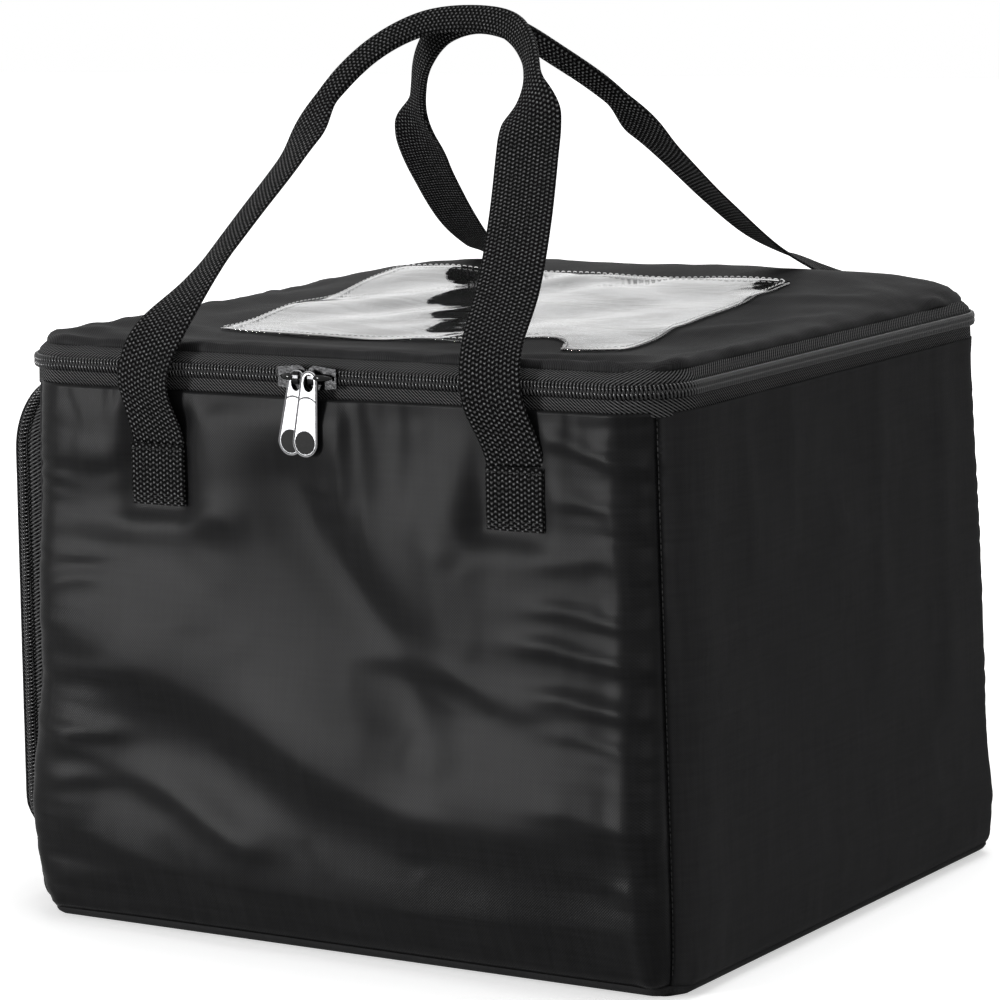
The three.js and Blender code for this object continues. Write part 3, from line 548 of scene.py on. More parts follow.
opening = door_outline(OPENING_MARGIN, closed=True)
frame_half = 151.5
frame_low, frame_high = SEAM_HEIGHT + 0.3, PANEL_TOP
frame_rows = []
frame_uv = []
for share in np.linspace(0, 1, 22):
    dy, dz = opening[:, 0], opening[:, 1] - DOOR_MIDDLE
    limit_z = np.where(dz > 0, frame_high - DOOR_MIDDLE, DOOR_MIDDLE - frame_low)
    grow = np.minimum(frame_half / np.maximum(np.abs(dy), 1e-6), limit_z / np.maximum(np.abs(dz), 1e-6))
    scale = 1 + (grow - 1) * share
    d, z = dy * scale, DOOR_MIDDLE + dz * scale
    d = d * (1 + share * (corner_seam(z) / frame_half - 1))
    near = np.hypot(dy, dz) * (grow - 1) * min(share, 1 - share)
    out = -1.4 + 2.6 * rise(near, 5) + 0.6 * np.exp(-near / 9) * ripple(d, z, 71, 16, 16)
    frame_rows.append(left_wall(d, z, out))
    frame_uv.append(rows_of(d, z))
door_frame_cloth = mesh_piece(
    "door_frame_cloth", frame_rows, grid_faces(len(frame_rows), len(opening), ring=True), frame_uv)
door_frame_cloth.data.flip_normals()
dress(door_frame_cloth, plain_nylon, "bag", "nylon", "left_frame", "left_foam", wall=1.2, fill=0.5)


# The bottom: a shallow tray of nylon over a stiffener board, sewn to the walls just above the
# floor. The seam shows as a narrow groove with a rounded rim below it.
whole_path = wall_path(180, 540, step=4)


def ring_at(out, z):
    side_x, side_y, angle, _ = whole_path
    return wall_point(side_x, side_y, angle, out, np.full(len(angle), float(z)))


tray_rows = [(-2.4, 6.2), (-1.2, 5.4), (-0.5, 4.2), (-0.5, 2.8), (-0.9, 1.2), (-2.6, 0.2), (-9, 0.0),
             (-30, 0.0)]
corner_tuck = corner_draw(whole_path[2], SEAM_HEIGHT)
tray_points = [ring_at(out - corner_tuck * (z > 0.3), z) for out, z in tray_rows]
tray = np.array(tray_points).reshape(-1, 3)
columns = len(whole_path[0])
tray_faces = [face[::-1] for face in grid_faces(len(tray_rows), columns, ring=True)]
tray_faces.append(list(range((len(tray_rows) - 1) * columns, len(tray_rows) * columns))[::-1])
tray_uv = tray[:, :2] + np.array([[0, 1]]) * tray[:, 2:3]
tray_piece = mesh_piece("bottom_cloth", tray, tray_faces, tray_uv)
dress(tray_piece, plain_nylon, "bag", "nylon", "bottom_panel")
board_finish = noise_finish("stiffener board", 180.0, (0.24, 0.21, 0.17), (0.36, 0.32, 0.26), Roughness=0.8)
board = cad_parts["bottom_board"]
board.data.materials.clear()
board.data.materials.append(board_finish)


# The foil lining: aluminium laminate on thin film, welded into an open box that hangs inside
# the walls from the binding under the zip. It creases wherever it is handled.
foil, tree, shader = new_finish("foil laminate", Metallic=0.9)
place = node_in(tree, "ShaderNodeTexCoord").outputs["Object"]
cracks = node_in(tree, "ShaderNodeTexVoronoi", [("Vector", place), ("Scale", 38.0)],
                 feature="DISTANCE_TO_EDGE")
waves = noise_in(tree, 24.0, 5.0, 1.2)
creased = math_in(tree, "MULTIPLY_ADD", cracks.outputs["Distance"], 1.4, waves)
join(shader, Base_Color=mix_colour(tree, waves, (0.5, 0.51, 0.53), (0.72, 0.73, 0.75)),
     Roughness=map_range(tree, waves, 0.2, 0.42), Normal=bump_in(tree, 0.7, 0.003, creased))


def merged_copy(name, node):
    """A copy of a CAD node's mesh with its loose triangles joined."""
    built = bmesh.new()
    built.from_mesh(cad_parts[node].data)
    bmesh.ops.remove_doubles(built, verts=built.verts, dist=0.00001)
    mesh = bpy.data.meshes.new(name)
    built.to_mesh(mesh)
    built.free()
    return linked(name, mesh)


lining = merged_copy("foil_lining", "inner_lining")
dress(lining, foil, "bag", "foil", "inner_lining")
rim_profile = [(-0.5, 265.6), (-2.0, 263.0), (-4.4, 262.2), (-6.6, 262.0), (-7.4, 259.5), (-7.4, 254.0)]
rim_points = [ring_at(out, z) for out, z in rim_profile]
rim_uv = np.array([[d, 3.0 * i] for i in range(len(rim_profile)) for d in whole_path[3]])
rim = mesh_piece("rim_binding", rim_points, grid_faces(len(rim_profile), columns, ring=True), rim_uv)
rim.data.flip_normals()
dress(rim, plain_nylon, "bag", "nylon", wall=0.8)


# The lid zip's tapes: woven polyester with a herringbone face. The lower one is sewn to the
# walls, and the upper one bends in over the lid's rim, where the lid's cloth is sewn to it.
herringbone, given, result = pattern_group("herringbone", 0.0019, ("Slant", 1.0), ("Height",))
split = split_in(herringbone, given["Place"])
turns = math_in(herringbone, "DIVIDE", 2 * pi, given["Pitch"])
lean = math_in(herringbone, "MULTIPLY_ADD", split[1], given["Slant"], split[0])
ribs, yarns = (
    math_in(herringbone, "SINE", math_in(herringbone, "MULTIPLY", line, turns)) for line in (lean, split[0]))
steps = math_in(herringbone, "MULTIPLY", math_in(herringbone, "MULTIPLY", ribs, yarns), -0.2)
crisp = math_in(herringbone, "POWER", math_in(herringbone, "MULTIPLY_ADD", ribs, 0.5, 0.5), 2.2)
herringbone.links.new(math_in(herringbone, "ADD", crisp, steps), result["Height"])


def tape_finish(name, slant):
    material, tree, shader = new_finish(name, Specular_IOR_Level=0.02)
    bone = group_in(tree, herringbone, Place=weave_place(tree), Slant=slant)["Height"]
    fine = group_in(tree, weave, Place=weave_place(tree), Pitch=0.0006)["Height"]
    # The herringbone's ribs are painted pale on the black tape, a painted highlight.
    join(shader, Base_Color=mix_colour(tree, bone, 0.0004, (0.15, 0.15, 0.152)),
         Roughness=map_range(tree, bone, 0.8, 0.5),
         Normal=bump_in(tree, 1.0, 0.0006, math_in(tree, "MULTIPLY_ADD", fine, 0.25, bone)))
    return material


lower_tape_finish = tape_finish("lower tape", 1.3)
upper_tape_finish = tape_finish("upper tape", -1.3)
zip_path = wall_path(135, 405)
hinge_path = wall_path(45, 135, step=4)


def tube_faces(rings, sides):
    """Quads round a closed section that runs through its rings, with flat ends."""
    faces = grid_faces(rings, sides, ring=True)
    return faces + [list(range(sides))[::-1], list(range((rings - 1) * sides, rings * sides))]


def band_piece(name, path, profile, level=None):
    """A band along the wall from a closed profile of (out, z), with flat ends."""
    side_x, side_y, angle, distance = path
    points = []
    for out, z in profile:
        place = wall_point(side_x, side_y, angle, out, level or z)
        place[:, 2] = z
        points.append(place)
    uv = rows_of(distance[:, None], run_length(np.array(profile)))
    return mesh_piece(name, np.stack(points, axis=1), tube_faces(len(distance), len(profile)), uv)


body_tape = band_piece("body_zip_tape_cloth", zip_path, [
    (-0.4, 256.1), (0.3, 255.9), (0.75, 256.4), (0.8, 261), (0.8, 266.2), (0.5, 266.45), (-0.4, 266.4)])
dress(body_tape, lower_tape_finish, "bag", "zip_tape", "body_zip_tape")
lid_tape = band_piece("lid_zip_tape_cloth", zip_path, [
    (-0.4, 267.6), (0.5, 267.55), (0.8, 267.8), (0.8, 270.6), (0.2, 272.2), (-2.0, 274.3), (-5.4, 276.6),
    (-5.8, 275.6), (-2.9, 273.2), (-0.5, 270.9)], level=ZIP_LEVEL)
dress(lid_tape, upper_tape_finish, "lid", "zip_tape", "lid_zip_tape")


# The back hinge: the strip of nylon that joins the lid to the back wall and folds when the
# lid opens, so it is one strip that bends from the bag to the lid.
hinge_strip = band_piece("lid_hinge_cloth", hinge_path, [
    (-0.4, 256.1), (0.5, 255.9), (0.9, 257.0), (1.3, 261), (1.6, 264.5), (1.7, 267.2), (1.5, 270.0),
    (0.2, 272.6), (-2.6, 274.6), (-6.2, 276.9), (-6.4, 275.6), (-3.0, 273.2), (-0.4, 270.6), (0.4, 267.0)],
    level=ZIP_LEVEL)
dress(hinge_strip, plain_nylon, None, "nylon", "body_hinge_band", "lid_hinge_band")
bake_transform(hinge_strip)


# The coils: nylon monofilament wound into loops and sewn along each tape. Closed, the loops of
# the two halves lie between each other. One loop is repeated along each half by geometry nodes.
coil_finish, tree, shader = new_finish(
    "nylon coil", Base_Color=(0.012, 0.012, 0.0125, 1), Specular_IOR_Level=0.5)
join(shader, Roughness=map_range(tree, noise_in(tree, 900.0), 0.14, 0.3))


WIRE_SIDES = 6
WIRE_RADIUS = 0.55


def unit(rows):
    return rows / np.linalg.norm(rows, axis=1)[:, None]


def full_turn(sides):
    """The angles of a circle's even points."""
    return np.arange(sides) * 2 * pi / sides


def tube_points(centres, radius, sides):
    """Rings of points round a line that lies near a plane of constant x."""
    centres = np.array(centres, float)
    tangent = unit(np.gradient(centres, axis=0))
    first = unit(np.array([1.0, 0, 0]) - tangent * tangent[:, :1])
    second = np.cross(tangent, first)
    turns = full_turn(sides)
    ring = np.cos(turns)[:, None, None] * first + np.sin(turns)[:, None, None] * second
    return (centres + radius * ring).transpose(1, 0, 2)


loop_line = [(-0.45, 2.75, 0.3), (-0.45, 2.85, 1.0), (-0.3, 2.4, 1.7), (-0.05, 1.5, 1.95),
             (0.2, 0.5, 1.9), (0.35, -0.25, 1.55), (0.35, -0.45, 0.9), (0.2, -0.1, 0.3)]
coil_loop = mesh_piece(
    "coil_loop", tube_points(loop_line, WIRE_RADIUS, WIRE_SIDES), tube_faces(len(loop_line), WIRE_SIDES))
coil_loop.hide_render = True


repeat_tree = bpy.data.node_groups.new("repeat along a path", "GeometryNodeTree")
for label, kind in (("Path", "Geometry"), ("Shape", "Object"), ("Pitch", "Float"), ("Size", "Float"),
                    ("Finish", "Material")):
    repeat_tree.interface.new_socket(label, in_out="INPUT", socket_type="NodeSocket" + kind)
repeat_tree.interface.new_socket("Geometry", in_out="OUTPUT", socket_type="NodeSocketGeometry")
given = repeat_tree.nodes.new("NodeGroupInput").outputs
line = node_in(repeat_tree, "GeometryNodeMeshToCurve", [("Mesh", given["Path"])])
spaced = node_in(repeat_tree, "GeometryNodeResampleCurve", [
    ("Curve", line.outputs[0]), ("Length", given["Pitch"])], mode="LENGTH")
outward = node_in(repeat_tree, "GeometryNodeInputNamedAttribute", [("Name", "outward")],
                  data_type="FLOAT_VECTOR")
along = node_in(repeat_tree, "GeometryNodeInputTangent")
aim = node_in(repeat_tree, "FunctionNodeAxesToRotation", [
    ("Primary Axis", along.outputs[0]), ("Secondary Axis", outward.outputs["Attribute"])],
    primary_axis="X", secondary_axis="Z")
shape = node_in(repeat_tree, "GeometryNodeObjectInfo", [("Object", given["Shape"])])
placed = node_in(repeat_tree, "GeometryNodeInstanceOnPoints", [
    ("Points", spaced.outputs[0]), ("Instance", shape.outputs["Geometry"]), ("Rotation", aim.outputs[0]),
    ("Scale", given["Size"])])
real = node_in(repeat_tree, "GeometryNodeRealizeInstances", [("Geometry", placed.outputs[0])])
painted = node_in(repeat_tree, "GeometryNodeSetMaterial", [
    ("Geometry", real.outputs[0]), ("Material", given["Finish"])])
smooth = node_in(repeat_tree, "GeometryNodeSetShadeSmooth", [("Geometry", painted.outputs[0])])
node_in(repeat_tree, "NodeGroupOutput", [("Geometry", smooth.outputs[0])])


def repeat_along(name, points, outwards, shape_object, pitch, finish, size=1.0):
    """A shape repeated along a line of points, its z axis along outwards, as one plain mesh."""
    path = mesh_piece(name + "_path", points, [])
    path.data.edges.add(len(points) - 1)
    path.data.edges.foreach_set("vertices", np.repeat(np.arange(len(points)), 2)[1:-1])
    attribute = path.data.attributes.new("outward", "FLOAT_VECTOR", "POINT")
    attribute.data.foreach_set("vector", np.asarray(outwards, np.float32).ravel())
    modifier = path.modifiers.new("repeat", "NODES")
    modifier.node_group = repeat_tree
    values = {"Shape": shape_object, "Pitch": pitch / 1000, "Size": size, "Finish": finish}
    for item in repeat_tree.interface.items_tree:
        if item.in_out == "INPUT" and item.name in values:
            modifier[item.identifier] = values[item.name]
    path.update_tag()
    bpy.context.view_layer.update()
    mesh = bpy.data.meshes.new_from_object(path.evaluated_get(bpy.context.evaluated_depsgraph_get()))
    mesh.name = name
    piece = linked(name, mesh)
    bpy.data.objects.remove(path)
    return piece


COIL_PITCH = 1.8


def chain_line(path, out, z, shift=0.0):
    """The chain's middle line on the wall with the wall's outward directions."""
    side_x, side_y, angle, distance = path
    even = np.arange(shift, distance[-1], 1.0)
    side_x, side_y, angle = (np.interp(even, distance, column) for column in (side_x, side_y, angle))
    return wall_point(side_x, side_y, angle, out, z), rows_of(np.cos(angle), np.sin(angle), 0)


for name, body, node, shift, backwards in (
    ("lid_coil_loops", "lid", "lid_zip_coil", 0.0, False),
    ("body_coil_loops", "bag", "body_zip_coil", COIL_PITCH / 2, True),
):
    points, normals = chain_line(zip_path, 0.75, ZIP_LEVEL, shift)
    if backwards:
        points, normals = points[::-1], normals[::-1]
    coil = repeat_along(name, points, normals, coil_loop, COIL_PITCH, coil_finish)
    dress(coil, None, body, "zip_coil", node)


# The lid: slack nylon over foam, sewn to the upper tape all round. It sags at the front, where
# nothing holds it up, and rises towards the back.
LID_INSET = 6.3
LID_HALF_X = BODY_WIDTH / 2 - LID_INSET
LID_HALF_Y = BODY_DEPTH / 2 - LID_INSET
SLOPE_END = 276.5
LID_DOME = 5.0
LID_TILT = 14.0


def lid_height(x, y):
    u, v = x / LID_HALF_X, y / LID_HALF_Y
    sideways = np.clip(1 - np.abs(u) ** np.where(u > 0, 9, 5), 0, None)
    crown = sideways * np.clip(1 - np.abs(v) ** np.where(v > 0, 9, 4), 0, None)
    return SLOPE_END + crown * (LID_DOME + LID_TILT * v)


lid_folds = [
    ([(-165, -118), (-100, -112), (-40, -120), (30, -112), (100, -118), (165, -112)], 12, 9, 2.2),
    ([(-160, -70), (-130, -84), (-90, -98)], 12, 9, 1.8),
    ([(60, -128), (110, -118), (160, -98)], 8, 8, 1.8),
    ([(-150, 62), (-118, 76), (-84, 80)], 16, 18, 2.2),
    ([(90, 104), (130, 96), (160, 80)], 14, 12, 1.6),
    ([(118, -40), (140, -20), (160, 10)], 9, 9, 1.3),
    ([(120, 40), (140, 52), (160, 76)], 9, 8, 1.2),
    ([(-168, 8), (-150, 0), (-140, 4)], 14, 14, -1.6),
]


def lid_slack(x, y):
    """The lid cloth's soft hollows and folds, fading at its seam."""
    edge = np.clip(1 - np.maximum(np.abs(x) / LID_HALF_X, np.abs(y) / LID_HALF_Y), 0, 1) * 150
    total = 0.4 * ripple(x, y, 91, 110, 80) + 0.6 * np.exp(-edge / 16) * ripple(x, y, 93, 30, 30)
    return rise(edge, 10) * (total + sum(fold(x, y, *one) for one in lid_folds))


def closed_sheet(name, rings, axes):
    """A sheet of nested rings of points, from its edge to a middle point."""
    rings = np.array(rings)
    count, columns = rings.shape[:2]
    points = np.vstack([rings.reshape(-1, 3), rings[-1].mean(axis=0)])
    hub = count * columns
    faces = grid_faces(count, columns, ring=True)
    faces += [(hub - columns + c, hub - columns + (c + 1) % columns, hub) for c in range(columns)]
    return mesh_piece(name, points, faces, points[:, axes])


def lid_sheet(name, shares, lift, rim=()):
    side_x, side_y, angle, distance = whole_path
    edge = wall_point(side_x, side_y, angle, -LID_INSET, ZIP_LEVEL)
    rows = []
    for out, z in rim:
        puff = 0.5 * ripple(distance, 0 * distance, 87, 36, 36) * min(1, max(0, (z - 273) / 3))
        row = wall_point(side_x, side_y, angle, out + 0.5 * puff, ZIP_LEVEL)
        row[:, 2] = z + puff
        rows.append(row)
    for share in shares:
        x, y = edge[:, 0] * share, edge[:, 1] * share
        rows.append(rows_of(x, y, lid_height(x, y) + lid_slack(x, y) + lift(share)))
    return closed_sheet(name, rows, [0, 1])


lid_rim = [(-3.6, 274.3), (-3.0, 275.1), (-3.2, 276.7), (-4.4, 278.2), (-6.0, 279.0)]
lid_cloth = lid_sheet("lid_cloth", np.linspace(0.99, 0.03, 60),
                      lambda share: 2.6 * np.exp(-((1 - share) / 0.09) ** 2), lid_rim)
lid_nylon = nylon_finish("lid nylon", (0.006, 0.006, 0.0062), (0.023, 0.023, 0.0236), 0.4, 0.52, 0.0012, 0.05)
dress(lid_cloth, lid_nylon, "lid", "nylon", "lid_panel", "lid_foam", wall=1.2, fill=0.3)
lid_foil = lid_sheet("lid_foil", np.linspace(0.98, 0.03, 40), lambda share: -6.2 + 1.2 * (share > 0.96))
dress(lid_foil, foil, "lid", "foil", "lid_lining", wall=0.5)


# The document window: clear vinyl sewn to the lid along its sides and open at the front, where
# a thumb notch is cut. It is glossy and wavy, and a white thread runs round its edge.
WINDOW_HALF = 113.0
WINDOW_FRONT = -84.0
WINDOW_BACK = 76.0
NOTCH_X = 62.0
NOTCH_RADIUS = 17.0
WINDOW_CORNER = 5.0
WINDOW_HEM = 2.2
film, tree, shader = new_finish(
    "clear vinyl", Base_Color=(0.95, 0.96, 0.97, 1), Roughness=0.04, IOR=1.52, Transmission_Weight=1.0,
    Coat_Weight=0.8, Coat_Roughness=0.05)
place = node_in(tree, "ShaderNodeTexCoord").outputs["Object"]
stretched = node_in(tree, "ShaderNodeMapping", [("Vector", place), ("Scale", (1.0, 2.2, 1.0))])
join(shader, Normal=bump_in(tree, 0.5, 0.003, noise_in(tree, 14.0, 3.0, 0.8, place=stretched.outputs[0])))


def window_front(x):
    """The window's front edge, with the notch cut into it."""
    return WINDOW_FRONT + np.sqrt(np.clip(NOTCH_RADIUS ** 2 - (x - NOTCH_X) ** 2, 0, None))


film_x = np.linspace(-WINDOW_HALF, WINDOW_HALF, 114)
film_share = np.linspace(0, 1, 60)
over = np.clip(np.abs(film_x) - (WINDOW_HALF - WINDOW_CORNER), 0, None)
round_off = WINDOW_CORNER - np.sqrt(np.clip(WINDOW_CORNER ** 2 - over ** 2, 0, None))
low_edge = window_front(film_x) + round_off
high_edge = WINDOW_BACK - round_off
film_y = low_edge[None, :] + (high_edge - low_edge)[None, :] * film_share[:, None]
film_xs = np.broadcast_to(film_x[None, :], film_y.shape)
inside = np.clip(1 - np.abs(film_xs) / WINDOW_HALF, 0, 1)
lift = 1.1 + 0.4 * ripple(film_xs, film_y, 97, 70, 50) * inside
film_z = lid_height(film_xs, film_y) + lid_slack(film_xs, film_y) + np.clip(lift, 0.5, None)
window = mesh_piece("window_film_clear", rows_of(film_xs, film_y, film_z), grid_faces(*film_y.shape),
                    rows_of(film_xs, film_y))
dress(window, film, "lid", "clear_film", "window_film", wall=0.35)


# Thread: polyester sewing thread. One curved stitch is repeated along every seam that shows,
# pale round the window and black everywhere else.
THREAD_RADIUS = 0.24
thread_finish = noise_finish("sewing thread", 1500.0, 0.008, 0.035, Roughness=0.55, Specular_IOR_Level=0.2)
pale_thread = noise_finish("pale thread", 1500.0, 0.5, 0.85, Roughness=0.5)
stitch_line = np.array([(-1.0, 0, -0.15), (-0.7, 0, 0.12), (0, 0, 0.2), (0.7, 0, 0.12), (1.0, 0, -0.15)])
turns = full_turn(WIRE_SIDES)
thread_round = rows_of(0, np.cos(turns), np.sin(turns)) * THREAD_RADIUS
stitch = mesh_piece("stitch_shape", stitch_line[:, None, :] + thread_round,
                    tube_faces(len(stitch_line), WIRE_SIDES))
stitch.hide_render = True


def sew(name, points, outwards, body, finish=thread_finish, pitch=3.0):
    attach(repeat_along(name, points, outwards, stitch, pitch, finish), body)


film_sides = np.arange(WINDOW_FRONT + WINDOW_CORNER, WINDOW_BACK - WINDOW_CORNER, 2.0)
film_edge = np.array(
    [(x, y) for x, y in zip(film_x, low_edge + WINDOW_HEM)]
    + [(WINDOW_HALF - WINDOW_HEM, y) for y in film_sides]
    + [(x, y) for x, y in zip(film_x[::-1], high_edge[::-1] - WINDOW_HEM)]
    + [(-WINDOW_HALF + WINDOW_HEM, y) for y in film_sides[::-1] + 2])
film_edge = film_edge[np.abs(film_edge[:, 0]) <= WINDOW_HALF - WINDOW_HEM]
edge_z = lid_height(film_edge[:, 0], film_edge[:, 1]) + lid_slack(film_edge[:, 0], film_edge[:, 1]) + 1.9
sew("window_stitches", np.column_stack([film_edge, edge_z]), np.tile([0, 0, 1.0], (len(film_edge), 1)), "lid",
    pale_thread, 3.4)


# The door: a padded panel of the same nylon with its own foil, on its half of the zip. The
# zip stands out from the side, further at the top than at the bottom.
FRONT_SLACK = 9.0
HINGE_HALF = 101.5


def smooth_step(value, low, high):
    """Goes from 0 at low to 1 at high, level at both ends."""
    share = np.clip((value - low) / (high - low), 0, 1)
    return share * share * (3 - 2 * share)


def front_slack(y, z):
    """How far the door's front run hangs out, more towards its lower corner."""
    low = np.clip((DOOR_TOP - z) / (DOOR_TOP - DOOR_BOTTOM), 0, 1)
    foot = np.clip((z - DOOR_BOTTOM) / 26, 0, 1)
    return FRONT_SLACK * smooth_step(-y, 40, 115) * (0.5 + 0.5 * low) * (0.15 + 0.85 * foot)


def door_stand(y, z):
    return 5.8 + 3.7 * (z - DOOR_BOTTOM) / (DOOR_TOP - DOOR_BOTTOM) + front_slack(y, z)


def door_strip(name, profile):
    """A strip along the door's zip path from a closed profile of (inset, x) pairs of functions."""
    path = door_outline(0)
    points = []
    for inset, place_x in profile:
        y, z = path[:, 0] - inset * path[:, 2], path[:, 1] - inset * path[:, 3]
        points.append(rows_of(place_x(y, z), y, z))
    around = run_length(np.array([[inset, place_x(0.0, 140.0)] for inset, place_x in profile]))
    uv = rows_of(run_length(path[:, :2])[:, None], around)
    faces = [face[::-1] for face in tube_faces(len(path), len(profile))]
    return mesh_piece(name, np.stack(points, axis=1), faces, uv)


def from_wall(gap):
    return lambda y, z: -body_half(BODY_WIDTH, z) - gap


def from_chain(out):
    return lambda y, z: -body_half(BODY_WIDTH, z) - door_stand(y, z) - out


frame_tape = door_strip("door_frame_tape_cloth", [
    (0.4, from_wall(0.3)), (-0.8, from_wall(0.3)), (-0.8, from_chain(-3)), (-0.8, from_chain(-0.7)),
    (0.4, from_chain(-0.6)), (0.4, from_chain(-3))])
dress(frame_tape, lower_tape_finish, "bag", "zip_tape", "door_frame_tape")
door_tape = door_strip("door_zip_tape_cloth", [
    (0.4, from_chain(0.6)), (-0.8, from_chain(0.7)), (-0.8, from_chain(4.2)), (0.4, from_chain(4.3))])
dress(door_tape, upper_tape_finish, "door", "zip_tape", "door_zip_tape")
door_line = door_outline(-0.75, step=1.0)
door_chain = rows_of(from_chain(0)(door_line[:, 0], door_line[:, 1]), door_line[:, 0], door_line[:, 1])
door_normals = rows_of(0, door_line[:, 2], door_line[:, 3])
for name, body, node, part in (
    ("door_coil_loops", "door", "door_zip_coil", slice(None, None, -1)),
    ("door_frame_coil_loops", "bag", "door_frame_coil", slice(1, None)),
):
    coil = repeat_along(name, door_chain[part], door_normals[part], coil_loop, COIL_PITCH, coil_finish, 0.85)
    dress(coil, None, body, "zip_coil", node)
door_edge = door_outline(-0.8, step=4.0, closed=True)
door_shares = [(1.0, 4.6), (1.0, 5.2), (0.997, 5.8), (0.985, 6.2)]
door_shares += [(share, 6.2) for share in np.linspace(0.96, 0.04, 36)]
door_rows = []
for share, out in door_shares:
    y = door_edge[:, 0] * share
    z = DOOR_MIDDLE + (door_edge[:, 1] - DOOR_MIDDLE) * share
    edge = (1 - share) * 120
    rim_puff = 0.6 * np.exp(-edge / 16) * ripple(y, z, 113, 18, 18)
    puff = rise(edge, 12) * (2.2 + 0.9 * ripple(y, z, 111, 80, 90) + rim_puff)
    door_rows.append(rows_of(from_chain(out + puff)(y, z), y, z))
door_cloth = closed_sheet("door_cloth", door_rows, [1, 2])
dress(door_cloth, plain_nylon, "door", "nylon", "door_panel", "door_foam", wall=1.0, fill=0.5)
door_foil = merged_copy("door_foil", "door_lining")
dress(door_foil, foil, "door", "foil", "door_lining")
hinge_y = np.linspace(-HINGE_HALF, HINGE_HALF, 60)
hinge_rows = [(0.2, 18.2), (3.0, 17.2), (6.0, 16.9), (8.6, 17.0), (10.9, 17.6)]
hinge_points = [[(-body_half(BODY_WIDTH, z) - out, y, z) for y in hinge_y] for out, z in hinge_rows]
door_hinge = mesh_piece("door_hinge_cloth", hinge_points, grid_faces(len(hinge_rows), len(hinge_y)),
                        [[(y, out) for y in hinge_y] for out, z in hinge_rows])
dress(door_hinge, plain_nylon, None, "nylon", "door_hinge_band", wall=0.8)
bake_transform(door_hinge)


# Webbing: black polypropylene, 30 mm wide, with raised ribs of warp dots. Each handle foot is
# a folded end of it, sewn to the wall along its edges.
RIB_PITCH = 0.00193
PICK_PITCH = 0.0023
webbing, tree, shader = new_finish("ribbed webbing", Specular_IOR_Level=0.03)
split = split_in(tree, weave_place(tree))
across = math_in(tree, "MULTIPLY", split[1], 2 * pi / RIB_PITCH)
sway = math_in(tree, "COSINE", math_in(tree, "MULTIPLY", across, 0.5))
length = math_in(tree, "MULTIPLY_ADD", split[0], 2 * pi / PICK_PITCH, math_in(tree, "MULTIPLY", sway, pi / 2))
rib, pick = (
    math_in(tree, "MULTIPLY_ADD", math_in(tree, "COSINE", turn), 0.5, 0.5) for turn in (across, length))
dots = math_in(tree, "MULTIPLY", math_in(tree, "POWER", rib, 1.1), math_in(tree, "POWER", pick, 2.6))
# The tops of the dots are painted pale on the black webbing, a painted highlight, and a fine noise makes it
# stronger on some dots than on others.
patchy = math_in(tree, "MULTIPLY_ADD", noise_in(tree, 1100.0, place=weave_place(tree)), 3.0, -0.9)
dot_highlight = math_in(tree, "MULTIPLY", dots, math_in(tree, "MAXIMUM", patchy, 0.1))
join(shader, Base_Color=mix_colour(tree, dot_highlight, 0.0008, (0.2, 0.2, 0.203)),
     Roughness=map_range(tree, dots, 0.75, 0.4), Normal=bump_in(tree, 0.9, 0.0006, dots))
WEB_WIDTH = 30.0
WEB_THICKNESS = 1.6
PATCH_TOP = 232.0
PATCH_BOTTOM = 204.0
PATCH_ROWS = 30
PATCH_COLUMNS = 31


def front_wall(z):
    return -body_half(BODY_DEPTH, z)


def patch_points(face, middle):
    rows = np.linspace(PATCH_BOTTOM, PATCH_TOP + 0.2, PATCH_ROWS)
    z, a = np.meshgrid(rows, np.linspace(-1, 1, PATCH_COLUMNS), indexing="ij")
    z, a = z.ravel(), a.ravel()
    out = 1.95 - 0.5 * np.exp(PATCH_BOTTOM - z) - 0.5 * np.exp(-(1 - np.abs(a)) * WEB_WIDTH / 1.4)
    for sewn_row in (PATCH_BOTTOM + 3.5, PATCH_TOP - 2.5):
        out = out - 0.35 * np.exp(-((z - sewn_row) / 0.8) ** 2)
    return rows_of(middle + a * WEB_WIDTH / 2, face * (front_wall(z) - out - 1.2), z)


for face_name, face in (("front", 1), ("back", -1)):
    for side_name, sign in (("left", -1), ("right", 1)):
        middle = sign * PATCH_X + FOOT_SHIFT
        points = patch_points(face, middle)
        uv = rows_of(points[:, 2], points[:, 0] - middle)
        faces = grid_faces(PATCH_ROWS, PATCH_COLUMNS)
        patch = mesh_piece(f"patch_{face_name}_{side_name}", points, faces, uv)
        if face < 0:
            patch.data.flip_normals()
        dress(patch, webbing, "bag", "webbing", f"strap_patch_{face_name}_{side_name}", wall=2.6)
        for row, z in enumerate((206.0, 208.2, 229.6)):
            x = np.linspace(middle - 13.4, middle + 13.4, 20)
            sew(f"patch_stitches_{face_name}_{side_name}_{row}", rows_of(x, face * (front_wall(z) - 3.15), z),
                np.tile([0, -face, 0.0], (20, 1)), "bag", pitch=2.7)


# The handles: one length of webbing from patch to patch, folded in half lengthwise and sewn
# over the grip. Held up, the two grips lean together over the middle of the lid. A route runs
# from a patch to the handle's middle: across, back from the wall and up from the patch.
GRIP_WIDTH = 13.2
GRIP_THICKNESS = 4.8
FOLD_LENGTH = 26.0
GRIP_TURN = 56.0
GRIP_HALF = 90.0
RIGHT_START = 26.0
TURN_LENGTH = 62.0
FOLDED_HALF = 7.7
HANDLE_STEPS = 420
HANDLE_SIDES = 40
front_route = [
    (97, 0, 0), (96.4, -3.4, 14.7), (94.8, -7.6, 30.7), (92.5, -5.4, 42.7), (89.8, 1.7, 53.6),
    (83.5, 25.8, 76.1), (74.7, 50.2, 101.4), (64.5, 73.8, 127.5), (55.6, 94.4, 155), (43.0, 112.7, 174.0),
    (24.6, 125.2, 185.0), (0, 128.2, 188),
]
